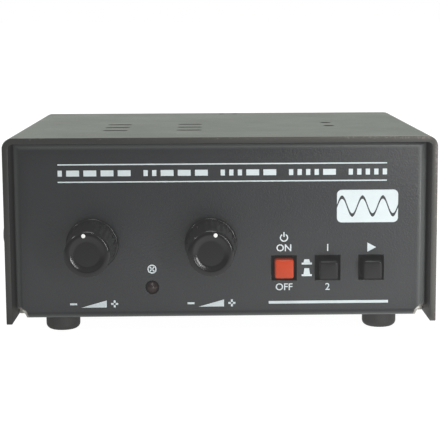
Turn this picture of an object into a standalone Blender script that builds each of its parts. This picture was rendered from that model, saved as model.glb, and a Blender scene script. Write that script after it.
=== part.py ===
"""Morse code keyer: a folded sheet-metal box with two knobs, a pilot light and three push buttons.

Metres, +Z up. The front panel faces -Y, the feet stand on Z = 0, and X = 0, Y = 0 is the middle of the box
that holds the whole object.
"""

import math

import bmesh
import bpy
from mathutils import Vector

# Gaps
SEAT_GAP = 0.0002
RUN_GAP = 0.0003
CUT_OVERRUN = 0.0010

# Cover
COVER_WIDTH = 0.1080
COVER_DEPTH = 0.0889
COVER_SHEET = 0.0015
COVER_BEND = 0.0026
COVER_OVERHANG = 0.0048
COVER_DROP = 0.0004
CASE_GAP = 0.0003

# Chassis
CHASSIS_HEIGHT = 0.0446
CHASSIS_SHEET = 0.0013
CHASSIS_BEND = 0.0020
FLANGE_DEPTH = 0.0090
FLANGE_LIFT = 0.0028
RELIEF_RADIUS = 0.0026
RELIEF_DEPTH = 0.0070
BEND_STEPS = 4

# Feet
FOOT_RADIUS = 0.0044
FOOT_HEIGHT = 0.0042
FOOT_ROUND = 0.0015
FOOT_SIDE_INSET = 0.0109
FOOT_END_INSET = 0.0094

# Cover screws
SCREW_HEAD_RADIUS = 0.0027
SCREW_HEAD_HEIGHT = 0.0012
SCREW_SHANK_RADIUS = 0.0014
SCREW_SHANK_LENGTH = 0.0055
SCREW_CROSS_LENGTH = 0.0030
SCREW_CROSS_WIDTH = 0.0007
SCREW_CROSS_DEPTH = 0.0007
SCREW_RISE = 0.0210

# Circuit board, shaped like an L that leaves the rear left to the battery
BOARD_THICKNESS = 0.0016
BOARD_SIDE_GAP = 0.0049
BOARD_FRONT_GAP = 0.0025
BOARD_REAR_GAP = 0.0032
BOARD_BATTERY_GAP = 0.0014
BOARD_HOLE_INSET = 0.0040
BOARD_HOLE_FROM_JACKS = 0.0129
STANDOFF_HEIGHT = 0.0036
STANDOFF_HALF_FLATS = 0.0025
BOARD_SCREW_HEAD_RADIUS = 0.0022
BOARD_SCREW_HEAD_HEIGHT = 0.0014
BOARD_SCREW_SHANK_RADIUS = 0.0012
BOARD_SCREW_SHANK_LENGTH = 0.0046

# Places along the front panel, as shares of half the chassis's width
SPEED_SHARE = -0.6207
VOLUME_SHARE = -0.0498
LED_SHARE = -0.3372
BUTTON_SHARE = 0.3046
BUTTON_PITCH_SHARE = 0.2126

# Rotary controls
POT_RISE = 0.0125
POT_RADIUS = 0.0082
POT_DEPTH = 0.0080
POT_WAFER_WIDTH = 0.0130
POT_WAFER_DEPTH = 0.0018
POT_SHAFT_RADIUS = 0.0030
POT_BUSHING_WALL = 0.0005
POT_BUSHING_REACH = 0.0040
POT_SHAFT_FLAT = 0.0018
POT_SHAFT_INNER = 0.0050
POT_WASHER_WIDTH = 0.0014
POT_WASHER_THICKNESS = 0.0005
POT_NUT_WALL = 0.0010
POT_NUT_THICKNESS = 0.0017

# Knobs
KNOB_LENGTH = 0.0160
KNOB_STANDOFF = 0.0015
KNOB_NUT_GAP = 0.0004
KNOB_SKIRT_WALL = 0.0010
KNOB_BASE_THICKNESS = 0.0013
KNOB_BASE_STEP = 0.0004
KNOB_TAPER = 0.0006
KNOB_EDGE = 0.0007
KNOB_FLUTE_DEPTH = 0.0002
KNOB_FLUTES = 24
KNOB_SMOOTH_BAND = 0.0016
KNOB_RIM_WIDTH = 0.0013
KNOB_DISH_DEPTH = 0.0007
KNOB_DISH_SLOPE = 0.0006
KNOB_CAVITY_DEPTH = 0.0040
KNOB_BORE_END_GAP = 0.0005
KNOB_FACE_WALL = 0.0013
POINTER_RADIUS = 0.0005
POINTER_DEPTH = 0.0003
POINTER_INSET = 0.0010
SPEED_POINTER = math.radians(-9.6)
VOLUME_POINTER = math.radians(14.2)

# Pilot light
LED_RISE = 0.0010
LED_RADIUS = 0.0015
LED_PROUD = 0.0012
LED_BOARD_GAP = 0.0004
LED_FLANGE_RADIUS = 0.0019
LED_FLANGE_THICKNESS = 0.0009
LED_LEAD_SPACING = 0.0012
LED_LEAD_WIDTH = 0.0005
LED_LEAD_REACH = 0.0030

# Push buttons
BUTTON_RISE = 0.0057
BUTTON_HOLE = 0.0064
CAP_SIDE = 0.0048
CAP_LENGTH = 0.0078
CAP_OUT = 0.0044
CAP_EDGE = 0.0004
CAP_SOCKET_DEPTH = 0.0044
LATCH_DEPTH = 0.0022
PRESS_TRAVEL = 0.0030
CAP_TO_HOUSING = 0.0009
HOUSING_WIDTH = 0.0085
HOUSING_DEPTH = 0.0120
HOUSING_EDGE = 0.0004
PLUNGER_SIDE = 0.0028
PLUNGER_ENGAGE = 0.0035

# Loudspeaker
SPEAKER_X = -0.0178
SPEAKER_FLANGE_GAP = 0.0012
SPEAKER_RADIUS = 0.0180
SPEAKER_RIM_WIDTH = 0.0022
SPEAKER_RIM_THICKNESS = 0.0012
SPEAKER_DEPTH = 0.0075
SPEAKER_WALL = 0.0008
SPEAKER_NECK_RADIUS = 0.0080
SPEAKER_WINDOW = 0.0060
CONE_WALL = 0.0005
CONE_DEPTH = 0.0040
CONE_NECK_RADIUS = 0.0045
CONE_DOME_RISE = 0.0014
MAGNET_RADIUS = 0.0090
MAGNET_HEIGHT = 0.0050

# Openings in the cover's top
SLOT_LENGTH = 0.0066
SLOT_WIDTH = 0.0022
SLOT_PITCH = 0.0100
SLOT_ROWS = 3
SLOT_COLUMN_OFFSET = 0.0097
ACCESS_HOLE_RADIUS = 0.0015
REAR_HOLE_RADIUS = 0.0008
REAR_HOLE_INSET = 0.0038
REAR_HOLE_X = 0.0029
REAR_HOLE_HALF_PITCH = 0.0020

# Trimmers
TRIMMER_X = 0.0298
TRIMMER_FROM_PANEL = 0.0309
TRIMMER_PITCH = 0.0111
TRIMMER_SIDE = 0.0068
TRIMMER_HEIGHT = 0.0045
TRIMMER_WELL_DEPTH = 0.0018
ROTOR_RADIUS = 0.0023
ROTOR_HEIGHT = 0.0016
ROTOR_SLOT_WIDTH = 0.0008
ROTOR_SLOT_DEPTH = 0.0008

# Parts on the board
CHIP_X = 0.0110
CHIP_FROM_PANEL = 0.0300
CHIP_WIDTH = 0.0064
CHIP_HEIGHT = 0.0032
CHIP_LIFT = 0.0008
CHIP_LEGS = 9
CHIP_LEG_PITCH = 0.00254
CHIP_LEG_WIDTH = 0.0006
CHIP_LEG_THICKNESS = 0.0004
CHIP_END_MARGIN = 0.00104
SOCKET_END_MARGIN = 0.0004
SOCKET_SIDE_MARGIN = 0.0017
SOCKET_HEIGHT = 0.0040
CAN_SUPPLY_X = 0.0180
CAN_AUDIO_FROM_EDGE = 0.0109
CAN_FROM_SOCKET = 0.0081
CAN_RADIUS = 0.0031
CAN_HEIGHT = 0.0110
CAN_GROOVE = 0.0004
SMALL_CAN_RADIUS = 0.0025
SMALL_CAN_HEIGHT = 0.0085
TRANSISTOR_RADIUS = 0.0024
TRANSISTOR_HEIGHT = 0.0046
TRANSISTOR_FLAT = 0.0010
TRANSISTOR_LEG = 0.0005
TRANSISTOR_LEG_LENGTH = 0.0030
TRANSISTOR_LEG_PITCH = 0.00127
REGULATOR_FROM_EDGE = 0.0060
REGULATOR_FROM_SWITCH = 0.0037
KEYING_FROM_EDGE = 0.0100
KEYING_FROM_JACKS = 0.0117
RESONATOR_FROM_SOCKET = 0.0019
RESONATOR_FROM_CHIP = 0.0060
RESONATOR_WIDTH = 0.0070
RESONATOR_DEPTH = 0.0028
RESONATOR_HEIGHT = 0.0075

# Battery
BATTERY_LENGTH = 0.0460
BATTERY_WIDTH = 0.0262
BATTERY_HEIGHT = 0.0172
BATTERY_EDGE = 0.0022
BATTERY_LEFT_GAP = 0.0030
BATTERY_REAR_GAP = 0.0012
TERMINAL_RADIUS = 0.0030
TERMINAL_REACH = 0.0020
TERMINAL_HALF_PITCH = 0.00635
SNAP_THICKNESS = 0.0035
SNAP_SIDE_INSET = 0.0006
SNAP_HEIGHT = 0.0115
CLIP_SHEET = 0.0006
CLIP_LENGTH = 0.0140
CLIP_ARM_SHARE = 0.62
CLIP_LIP = 0.0012

# Rear jacks
JACK_SIDE_INSET = 0.0102
JACK_PITCH = 0.0135
JACK_BODY_WIDTH = 0.0110
JACK_BODY_DEPTH = 0.0130
JACK_BODY_HEIGHT = 0.0110
JACK_BUSHING_RADIUS = 0.0030
JACK_BUSHING_REACH = 0.0040
JACK_BORE_RADIUS = 0.0018
JACK_BORE_DEPTH = 0.0140
JACK_NUT_WALL = 0.0010
JACK_NUT_THICKNESS = 0.0020
POWER_BUSHING_RADIUS = 0.0040
POWER_BORE_RADIUS = 0.0030
POWER_BORE_DEPTH = 0.0100
POWER_PIN_RADIUS = 0.00105
POWER_PIN_INSET = 0.0010

# Leads inside
LEAD_RADIUS = 0.0006
LEAD_STRAIGHT = 0.0030
LEAD_PAD_GAP = 0.0015
LEAD_FROM_EDGE = 0.0050
LEAD_STEP_LENGTH = 0.0030

# Roundness
ROUND_SIDES = 24
SMALL_SIDES = 16
TINY_SIDES = 12
EDGE_STEPS = 3
SHARP_ANGLE = math.radians(35)

# Places that follow from the sizes above
CASE_BOTTOM = FOOT_HEIGHT + SEAT_GAP
CASE_TOP = CASE_BOTTOM + CHASSIS_HEIGHT
COVER_UNDERSIDE = CASE_TOP + CASE_GAP
COVER_TOP = COVER_UNDERSIDE + COVER_SHEET
CHASSIS_HALF_WIDTH = COVER_WIDTH / 2 - COVER_SHEET - CASE_GAP
KNOB_REACH = KNOB_STANDOFF + KNOB_LENGTH
PANEL_Y = (KNOB_REACH + COVER_OVERHANG - COVER_DEPTH) / 2
PANEL_INNER_Y = PANEL_Y + CHASSIS_SHEET
COVER_FRONT_Y = PANEL_Y - COVER_OVERHANG
COVER_REAR_Y = COVER_FRONT_Y + COVER_DEPTH
REAR_Y = COVER_REAR_Y - COVER_OVERHANG
REAR_INNER_Y = REAR_Y - CHASSIS_SHEET
FLOOR_TOP = CASE_BOTTOM + CHASSIS_SHEET
BOARD_BOTTOM = FLOOR_TOP + SEAT_GAP + STANDOFF_HEIGHT + SEAT_GAP
BOARD_TOP = BOARD_BOTTOM + BOARD_THICKNESS
BOARD_HALF_WIDTH = CHASSIS_HALF_WIDTH - CHASSIS_SHEET - BOARD_SIDE_GAP
BOARD_FRONT_Y = PANEL_INNER_Y + BOARD_FRONT_GAP
ON_BOARD = BOARD_TOP + SEAT_GAP
SPEED_X = SPEED_SHARE * CHASSIS_HALF_WIDTH
VOLUME_X = VOLUME_SHARE * CHASSIS_HALF_WIDTH
LED_X = LED_SHARE * CHASSIS_HALF_WIDTH
BUTTON_X = BUTTON_SHARE * CHASSIS_HALF_WIDTH
BUTTON_PITCH = BUTTON_PITCH_SHARE * CHASSIS_HALF_WIDTH
POT_BUSHING_RADIUS = POT_SHAFT_RADIUS + POT_BUSHING_WALL
POT_WASHER_RADIUS = POT_BUSHING_RADIUS + POT_WASHER_WIDTH
POT_NUT_HALF_FLATS = POT_BUSHING_RADIUS + POT_NUT_WALL
KNOB_CAVITY_RADIUS = POT_NUT_HALF_FLATS / math.cos(math.pi / 6) + KNOB_NUT_GAP
KNOB_BASE_RADIUS = KNOB_CAVITY_RADIUS + KNOB_SKIRT_WALL
KNOB_BODY_RADIUS = KNOB_BASE_RADIUS - KNOB_BASE_STEP
KNOB_FRONT_RADIUS = KNOB_BODY_RADIUS - KNOB_TAPER
SHAFT_IN_KNOB = KNOB_LENGTH - KNOB_DISH_DEPTH - KNOB_FACE_WALL - KNOB_BORE_END_GAP
LED_LENGTH = LED_PROUD + CHASSIS_SHEET + BOARD_FRONT_GAP - LED_BOARD_GAP
SWITCH_FRONT_Y = PANEL_Y - CAP_OUT + CAP_LENGTH + PRESS_TRAVEL + CAP_TO_HOUSING
SPEAKER_Y = PANEL_Y + FLANGE_DEPTH + SPEAKER_FLANGE_GAP + SPEAKER_RADIUS
CHIP_Y = PANEL_Y + CHIP_FROM_PANEL
CHIP_LENGTH = (CHIP_LEGS - 1) * CHIP_LEG_PITCH + 2 * CHIP_END_MARGIN
SOCKET_LENGTH = CHIP_LENGTH + 2 * SOCKET_END_MARGIN
SOCKET_WIDTH = CHIP_WIDTH + 2 * SOCKET_SIDE_MARGIN
JACK_X = CHASSIS_HALF_WIDTH - JACK_SIDE_INSET - 2 * JACK_PITCH
JACK_FRONT_Y = REAR_INNER_Y - RUN_GAP - JACK_BODY_DEPTH
SNAP_WIDTH = BATTERY_WIDTH - 2 * SNAP_SIDE_INSET
FACE_FRONT = (math.pi / 2, 0, 0)
FACE_REAR = (-math.pi / 2, 0, 0)
FACE_RIGHT = (0, math.pi / 2, 0)
FACE_LEFT = (0, -math.pi / 2, 0)


def clear_scene():
    for old in list(bpy.data.objects):
        bpy.data.objects.remove(old, do_unlink=True)


def material(name, colour, roughness, metallic=0.0):
    made = bpy.data.materials.new(name)
    made.use_nodes = True
    shader = made.node_tree.nodes["Principled BSDF"]
    shader.inputs["Base Color"].default_value = (*colour, 1.0)
    shader.inputs["Roughness"].default_value = roughness
    shader.inputs["Metallic"].default_value = metallic
    made.diffuse_color = (*colour, 1.0)
    return made


def placed(name, mesh, look=None, at=(0, 0, 0), turn=(0, 0, 0), parent=None):
    """Put a mesh into the scene as a named object."""
    thing = bpy.data.objects.new(name, mesh)
    bpy.context.scene.collection.objects.link(thing)
    thing.rotation_euler = turn
    thing.parent = parent
    thing.location = Vector(at) - (parent.location if parent else Vector())
    if look is not None and not mesh.materials:
        mesh.materials.append(look)
    return thing


def mesh_from(bm, name):
    bmesh.ops.recalc_face_normals(bm, faces=bm.faces)
    mesh = bpy.data.meshes.new(name)
    bm.to_mesh(mesh)
    bm.free()
    mesh.shade_smooth()
    mesh.set_sharp_from_angle(angle=SHARP_ANGLE)
    return mesh


def add_block(bm, low, high):
    """Add a box between two corners."""
    for vert in bmesh.ops.create_cube(bm, size=1.0)["verts"]:
        vert.co = [high[axis] if vert.co[axis] > 0 else low[axis] for axis in range(3)]


def block(low, high, edge=0.0, edge_steps=2):
    """A box between two corners, with all its edges rounded where edge is given."""
    bm = bmesh.new()
    add_block(bm, low, high)
    if edge:
        bmesh.ops.bevel(bm, geom=bm.edges[:], offset=edge, segments=edge_steps, profile=0.5, affect="EDGES")
    return mesh_from(bm, "block")


def blocks(corners):
    """Several boxes that don't touch each other, in one mesh."""
    bm = bmesh.new()
    for low, high in corners:
        add_block(bm, low, high)
    return mesh_from(bm, "blocks")


def turned(profile, sides=ROUND_SIDES, ring=False):
    """Turn a profile of (radius, height) or (radius, height, outline) points about Z.

    An outline is a function of the angle that scales the radius. A ring profile closes on itself.
    """
    bm = bmesh.new()
    loops = []
    for radius, height, *outline in profile:
        if radius == 0:
            loops.append([bm.verts.new((0, 0, height))])
            continue
        loop = []
        for step in range(sides):
            angle = 2 * math.pi * step / sides
            reach = radius * (outline[0](angle) if outline else 1)
            loop.append(bm.verts.new((reach * math.cos(angle), reach * math.sin(angle), height)))
        loops.append(loop)
    pairs = list(zip(loops, loops[1:]))
    if ring:
        pairs.append((loops[-1], loops[0]))
    for lower, upper in pairs:
        if len(lower) == len(upper) == 1:
            continue
        for step in range(sides):
            after = (step + 1) % sides
            corners = [lower[step % len(lower)], lower[after % len(lower)]]
            corners += [upper[after % len(upper)], upper[step % len(upper)]]
            bm.faces.new(list(dict.fromkeys(corners)))
    return mesh_from(bm, "turned")


def hexagon(angle):
    """Scale that turns a circle through the flats into a hexagon round it."""
    return 1 / math.cos(angle % (math.pi / 3) - math.pi / 6)


def cylinder(radius, low, high, sides=SMALL_SIDES):
    return turned([(0, low), (radius, low), (radius, high), (0, high)], sides)


def arc(centre, radius, start, end, steps=BEND_STEPS):
    """Points of an arc in a plane, angles in degrees."""
    points = []
    for step in range(steps + 1):
        angle = math.radians(start + (end - start) * step / steps)
        points.append((centre[0] + radius * math.cos(angle), centre[1] + radius * math.sin(angle)))
    return points


def extruded(outline, low, high, to_space):
    """Extrude a flat outline from low to high. to_space turns (u, v, depth) into (x, y, z)."""
    bm = bmesh.new()
    near = [bm.verts.new(to_space(u, v, low)) for u, v in outline]
    far = [bm.verts.new(to_space(u, v, high)) for u, v in outline]
    bm.faces.new(near)
    bm.faces.new(far[::-1])
    count = len(outline)
    for step in range(count):
        after = (step + 1) % count
        bm.faces.new([near[step], near[after], far[after], far[step]])
    return mesh_from(bm, "extruded")


def along_y(u, v, depth):
    return (u, depth, v)


def along_x(u, v, depth):
    return (depth, u, v)


def along_z(u, v, depth):
    return (u, v, depth)


def helper(mesh, at=(0, 0, 0), turn=(0, 0, 0), parent=None):
    """An object that only shapes others and never shows."""
    thing = placed("helper", mesh, at=at, turn=turn, parent=parent)
    thing.hide_render = True
    thing.display_type = "WIRE"
    return thing


def carve(thing, *cutters):
    for cutter in cutters:
        step = thing.modifiers.new("cut", "BOOLEAN")
        step.operation = "DIFFERENCE"
        step.object = cutter


def unite(thing, *additions):
    for addition in additions:
        step = thing.modifiers.new("join", "BOOLEAN")
        step.operation = "UNION"
        step.object = addition


def settled(thing):
    """The mesh of a thing with its modifiers applied; the thing and its helpers are deleted."""
    graph = bpy.context.evaluated_depsgraph_get()
    mesh = bpy.data.meshes.new_from_object(thing.evaluated_get(graph), depsgraph=graph)
    used = [step.object for step in thing.modifiers if step.type == "BOOLEAN"]
    for old in used + [thing]:
        bpy.data.objects.remove(old, do_unlink=True)
    return mesh


def axis_empty(name, at):
    """The empty that carries a moving body; its place is on the joint's axis."""
    empty = bpy.data.objects.new(name, None)
    bpy.context.scene.collection.objects.link(empty)
    empty.location = at
    return empty


def pan(half_width, front, rear, bottom, top, bend):
    """A box whose front and rear faces have rounded edges, like sheet bent round a former."""
    bm = bmesh.new()
    add_block(bm, (-half_width, front, bottom), (half_width, rear, top))
    ends = [edge for edge in bm.edges if abs(edge.verts[0].co.y - edge.verts[1].co.y) < bend]
    bmesh.ops.bevel(bm, geom=ends, offset=bend, segments=BEND_STEPS, profile=0.5, affect="EDGES")
    return mesh_from(bm, "pan")


def make_chassis(look):
    """Front panel, floor and rear panel in one folded sheet, with flanges round both panels."""
    outer = pan(CHASSIS_HALF_WIDTH, PANEL_Y, REAR_Y, CASE_BOTTOM, CASE_TOP, CHASSIS_BEND)
    chassis = placed("chassis", outer, look)
    inner_half = CHASSIS_HALF_WIDTH - CHASSIS_SHEET
    inner_bend = CHASSIS_BEND - CHASSIS_SHEET
    inner_top = CASE_TOP - CHASSIS_SHEET
    inner = pan(inner_half, PANEL_INNER_Y, REAR_INNER_Y, FLOOR_TOP, inner_top, inner_bend)
    reach = CHASSIS_HALF_WIDTH + CUT_OVERRUN
    middle_low = (-reach, PANEL_Y + FLANGE_DEPTH, FLOOR_TOP)
    middle_high = (reach, REAR_Y - FLANGE_DEPTH, CASE_TOP + CUT_OVERRUN)
    carve(chassis, helper(inner), helper(block(middle_low, middle_high)))
    floor_half = inner_half - inner_bend - SEAT_GAP
    corner = CHASSIS_BEND + SEAT_GAP
    slits = (
        (floor_half, FLOOR_TOP, CASE_BOTTOM + FLANGE_LIFT),
        (CHASSIS_HALF_WIDTH - corner, CASE_TOP - corner, CASE_TOP + CUT_OVERRUN),
    )
    for side in (-1, 1):
        for inward, bottom, top in slits:
            near, far = sorted((side * inward, side * reach))
            carve(chassis, helper(block((near, PANEL_INNER_Y, bottom), (far, REAR_INNER_Y, top))))
        for end, turn in ((PANEL_Y, FACE_FRONT), (REAR_Y, FACE_REAR)):
            notch = cylinder(RELIEF_RADIUS, -RELIEF_DEPTH, CUT_OVERRUN)
            carve(chassis, helper(notch, (side * CHASSIS_HALF_WIDTH, end, CASE_BOTTOM), turn))
    cut_panel_holes(chassis)
    cut_rear_holes(chassis)
    for place, turn in screw_places():
        hole = cylinder(SCREW_SHANK_RADIUS + SEAT_GAP, -SCREW_SHANK_LENGTH, CUT_OVERRUN, SMALL_SIDES)
        carve(chassis, helper(hole, place, turn))
    return chassis


def cut_panel_holes(chassis):
    depth = CHASSIS_SHEET + CUT_OVERRUN
    pot_hole = cylinder(POT_BUSHING_RADIUS + SEAT_GAP, -depth, CUT_OVERRUN, ROUND_SIDES)
    for x in (SPEED_X, VOLUME_X):
        carve(chassis, helper(pot_hole, (x, PANEL_Y, BOARD_TOP + POT_RISE), FACE_FRONT))
    led_hole = cylinder(LED_RADIUS + SEAT_GAP, -depth, CUT_OVERRUN, SMALL_SIDES)
    carve(chassis, helper(led_hole, (LED_X, PANEL_Y, BOARD_TOP + LED_RISE), FACE_FRONT))
    half = BUTTON_HOLE / 2
    button_hole = block((-half, -CUT_OVERRUN, -half), (half, depth, half))
    for x in button_xs():
        carve(chassis, helper(button_hole, (x, PANEL_Y, BOARD_TOP + BUTTON_RISE)))


def cut_rear_holes(chassis):
    depth = CHASSIS_SHEET + CUT_OVERRUN
    for x, bushing in zip(jack_xs(), jack_bushing_radii()):
        hole = cylinder(bushing + SEAT_GAP, -depth, CUT_OVERRUN)
        carve(chassis, helper(hole, (x, REAR_Y, jack_axis_z()), FACE_REAR))


def button_xs():
    return [BUTTON_X + step * BUTTON_PITCH for step in range(3)]


def jack_xs():
    return [JACK_X + step * JACK_PITCH for step in range(3)]


def jack_bushing_radii():
    return [JACK_BUSHING_RADIUS, JACK_BUSHING_RADIUS, POWER_BUSHING_RADIUS]


def jack_axis_z():
    return ON_BOARD + JACK_BODY_HEIGHT / 2


def screw_places():
    """Place and turn of each cover screw: on both sides, in the middle of the front and rear flanges."""
    inset = (CHASSIS_BEND + FLANGE_DEPTH) / 2
    places = []
    for y in (PANEL_Y + inset, REAR_Y - inset):
        for side, turn in ((-1, FACE_LEFT), (1, FACE_RIGHT)):
            places.append(((side * COVER_WIDTH / 2, y, CASE_BOTTOM + SCREW_RISE), turn))
    return places


def make_cover(look):
    """A sheet folded into an inverted U, open at the front and rear."""
    half = COVER_WIDTH / 2
    bottom = CASE_BOTTOM - COVER_DROP
    inner = half - COVER_SHEET
    inner_bend = COVER_BEND - COVER_SHEET
    bend_x = half - COVER_BEND
    bend_z = COVER_TOP - COVER_BEND
    outline = [(-half, bottom)]
    outline += arc((-bend_x, bend_z), COVER_BEND, 180, 90)
    outline += arc((bend_x, bend_z), COVER_BEND, 90, 0)
    outline += [(half, bottom), (inner, bottom)]
    outline += arc((bend_x, bend_z), inner_bend, 0, 90)
    outline += arc((-bend_x, bend_z), inner_bend, 90, 180)
    outline += [(-inner, bottom)]
    cover = placed("cover", extruded(outline, COVER_FRONT_Y, COVER_REAR_Y, along_y), look)
    low = -COVER_SHEET - CUT_OVERRUN
    slot = slot_mesh(low)
    for column in (-1, 1):
        for row in range(SLOT_ROWS):
            y = SPEAKER_Y + (row - (SLOT_ROWS - 1) / 2) * SLOT_PITCH
            carve(cover, helper(slot, (SPEAKER_X + column * SLOT_COLUMN_OFFSET, y, COVER_TOP)))
    access = cylinder(ACCESS_HOLE_RADIUS, low, CUT_OVERRUN)
    for x, y in trimmer_places():
        carve(cover, helper(access, (x, y, COVER_TOP)))
    rear_hole = cylinder(REAR_HOLE_RADIUS, low, CUT_OVERRUN, TINY_SIDES)
    for side in (-1, 1):
        x = REAR_HOLE_X + side * REAR_HOLE_HALF_PITCH
        carve(cover, helper(rear_hole, (x, COVER_REAR_Y - REAR_HOLE_INSET, COVER_TOP)))
    screw_hole = cylinder(SCREW_SHANK_RADIUS + RUN_GAP, low, CUT_OVERRUN)
    for place, turn in screw_places():
        carve(cover, helper(screw_hole, place, turn))
    return cover


def slot_mesh(low):
    """A slot with round ends, through the cover's sheet."""
    radius = SLOT_WIDTH / 2
    straight = SLOT_LENGTH / 2 - radius
    outline = arc((straight, 0), radius, -90, 90) + arc((-straight, 0), radius, 90, 270)
    return extruded(outline, low, CUT_OVERRUN, along_z)


def trimmer_places():
    first = PANEL_Y + TRIMMER_FROM_PANEL
    return [(TRIMMER_X, first), (TRIMMER_X, first + TRIMMER_PITCH)]


def make_feet(look):
    """Moulded rubber feet, stuck under the floor."""
    round_edge = arc((FOOT_RADIUS - FOOT_ROUND, FOOT_ROUND), FOOT_ROUND, -90, 0, EDGE_STEPS)
    foot = turned([(0, 0)] + round_edge + [(FOOT_RADIUS, FOOT_HEIGHT), (0, FOOT_HEIGHT)])
    x = CHASSIS_HALF_WIDTH - FOOT_SIDE_INSET
    for name, side, y in (
        ("foot_front_left", -1, PANEL_Y + FOOT_END_INSET),
        ("foot_front_right", 1, PANEL_Y + FOOT_END_INSET),
        ("foot_rear_left", -1, REAR_Y - FOOT_END_INSET),
        ("foot_rear_right", 1, REAR_Y - FOOT_END_INSET),
    ):
        placed(name, foot, look, (side * x, y, 0))


def screw_mesh(head_radius, head_height, shank_radius, shank_length, cross_length, cross_width, cross_depth):
    """A pan-head screw with a cross recess; Z = 0 is its seat, with the head above."""
    dome = head_height / 2
    head = arc((head_radius - dome, head_height - dome), dome, 0, 90, EDGE_STEPS)
    profile = [(0, -shank_length), (shank_radius, -shank_length), (shank_radius, 0), (head_radius, 0)]
    screw = placed("screw", turned(profile + head + [(0, head_height)], SMALL_SIDES))
    for long_x, long_y in ((cross_length, cross_width), (cross_width, cross_length)):
        low = (-long_x / 2, -long_y / 2, head_height - cross_depth)
        high = (long_x / 2, long_y / 2, head_height + CUT_OVERRUN)
        carve(screw, helper(block(low, high)))
    return settled(screw)


def make_cover_screws(look):
    mesh = screw_mesh(
        SCREW_HEAD_RADIUS,
        SCREW_HEAD_HEIGHT,
        SCREW_SHANK_RADIUS,
        SCREW_SHANK_LENGTH,
        SCREW_CROSS_LENGTH,
        SCREW_CROSS_WIDTH,
        SCREW_CROSS_DEPTH,
    )
    names = ("screw_front_left", "screw_front_right", "screw_rear_left", "screw_rear_right")
    for name, (place, turn) in zip(names, screw_places()):
        side = 1 if place[0] > 0 else -1
        placed(name, mesh, look, (place[0] + side * SEAT_GAP, place[1], place[2]), turn)


def board_hole_places():
    """The two board screws: in front of the battery on the left, in front of the jacks on the right."""
    x = BOARD_HALF_WIDTH - BOARD_HOLE_INSET
    step = board_step()
    return [(-x, step[1] - BOARD_HOLE_INSET), (x, JACK_FRONT_Y - BOARD_HOLE_FROM_JACKS)]


def board_step():
    """The inner corner of the board's L, clear of the battery's clip and snap."""
    low, high = battery_box()
    x = high.x + SEAT_GAP + CLIP_SHEET + CLIP_LIP / 2 + BOARD_BATTERY_GAP
    y = low.y - RUN_GAP - SNAP_THICKNESS - BOARD_BATTERY_GAP
    return x, y


def make_board(board_look, metal_look):
    """The circuit board, its standoffs on the floor and its screws."""
    step_x, step_y = board_step()
    rear = REAR_INNER_Y - BOARD_REAR_GAP
    outline = [
        (-BOARD_HALF_WIDTH, BOARD_FRONT_Y),
        (BOARD_HALF_WIDTH, BOARD_FRONT_Y),
        (BOARD_HALF_WIDTH, rear),
        (step_x, rear),
        (step_x, step_y),
        (-BOARD_HALF_WIDTH, step_y),
    ]
    board = placed("circuit_board", extruded(outline, BOARD_BOTTOM, BOARD_TOP, along_z), board_look)
    bore = BOARD_SCREW_SHANK_RADIUS + RUN_GAP
    hole = cylinder(bore, -BOARD_THICKNESS - CUT_OVERRUN, CUT_OVERRUN, SMALL_SIDES)
    standoff = turned(
        [
            (bore, 0),
            (STANDOFF_HALF_FLATS, 0, hexagon),
            (STANDOFF_HALF_FLATS, STANDOFF_HEIGHT, hexagon),
            (bore, STANDOFF_HEIGHT),
        ],
        TINY_SIDES,
        ring=True,
    )
    screw = screw_mesh(
        BOARD_SCREW_HEAD_RADIUS,
        BOARD_SCREW_HEAD_HEIGHT,
        BOARD_SCREW_SHANK_RADIUS,
        BOARD_SCREW_SHANK_LENGTH,
        SCREW_CROSS_LENGTH,
        SCREW_CROSS_WIDTH,
        SCREW_CROSS_DEPTH,
    )
    for side, (x, y) in zip(("left", "right"), board_hole_places()):
        carve(board, helper(hole, (x, y, BOARD_TOP)))
        placed("standoff_" + side, standoff, metal_look, (x, y, FLOOR_TOP + SEAT_GAP))
        placed("board_screw_" + side, screw, metal_look, (x, y, ON_BOARD))


def d_outline(radius, flat):
    """A circle with one flat side, flat at the top."""
    rise = math.degrees(math.asin(flat / radius))
    return arc((0, 0), radius, 180 - rise, 360 + rise, SMALL_SIDES)


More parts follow.
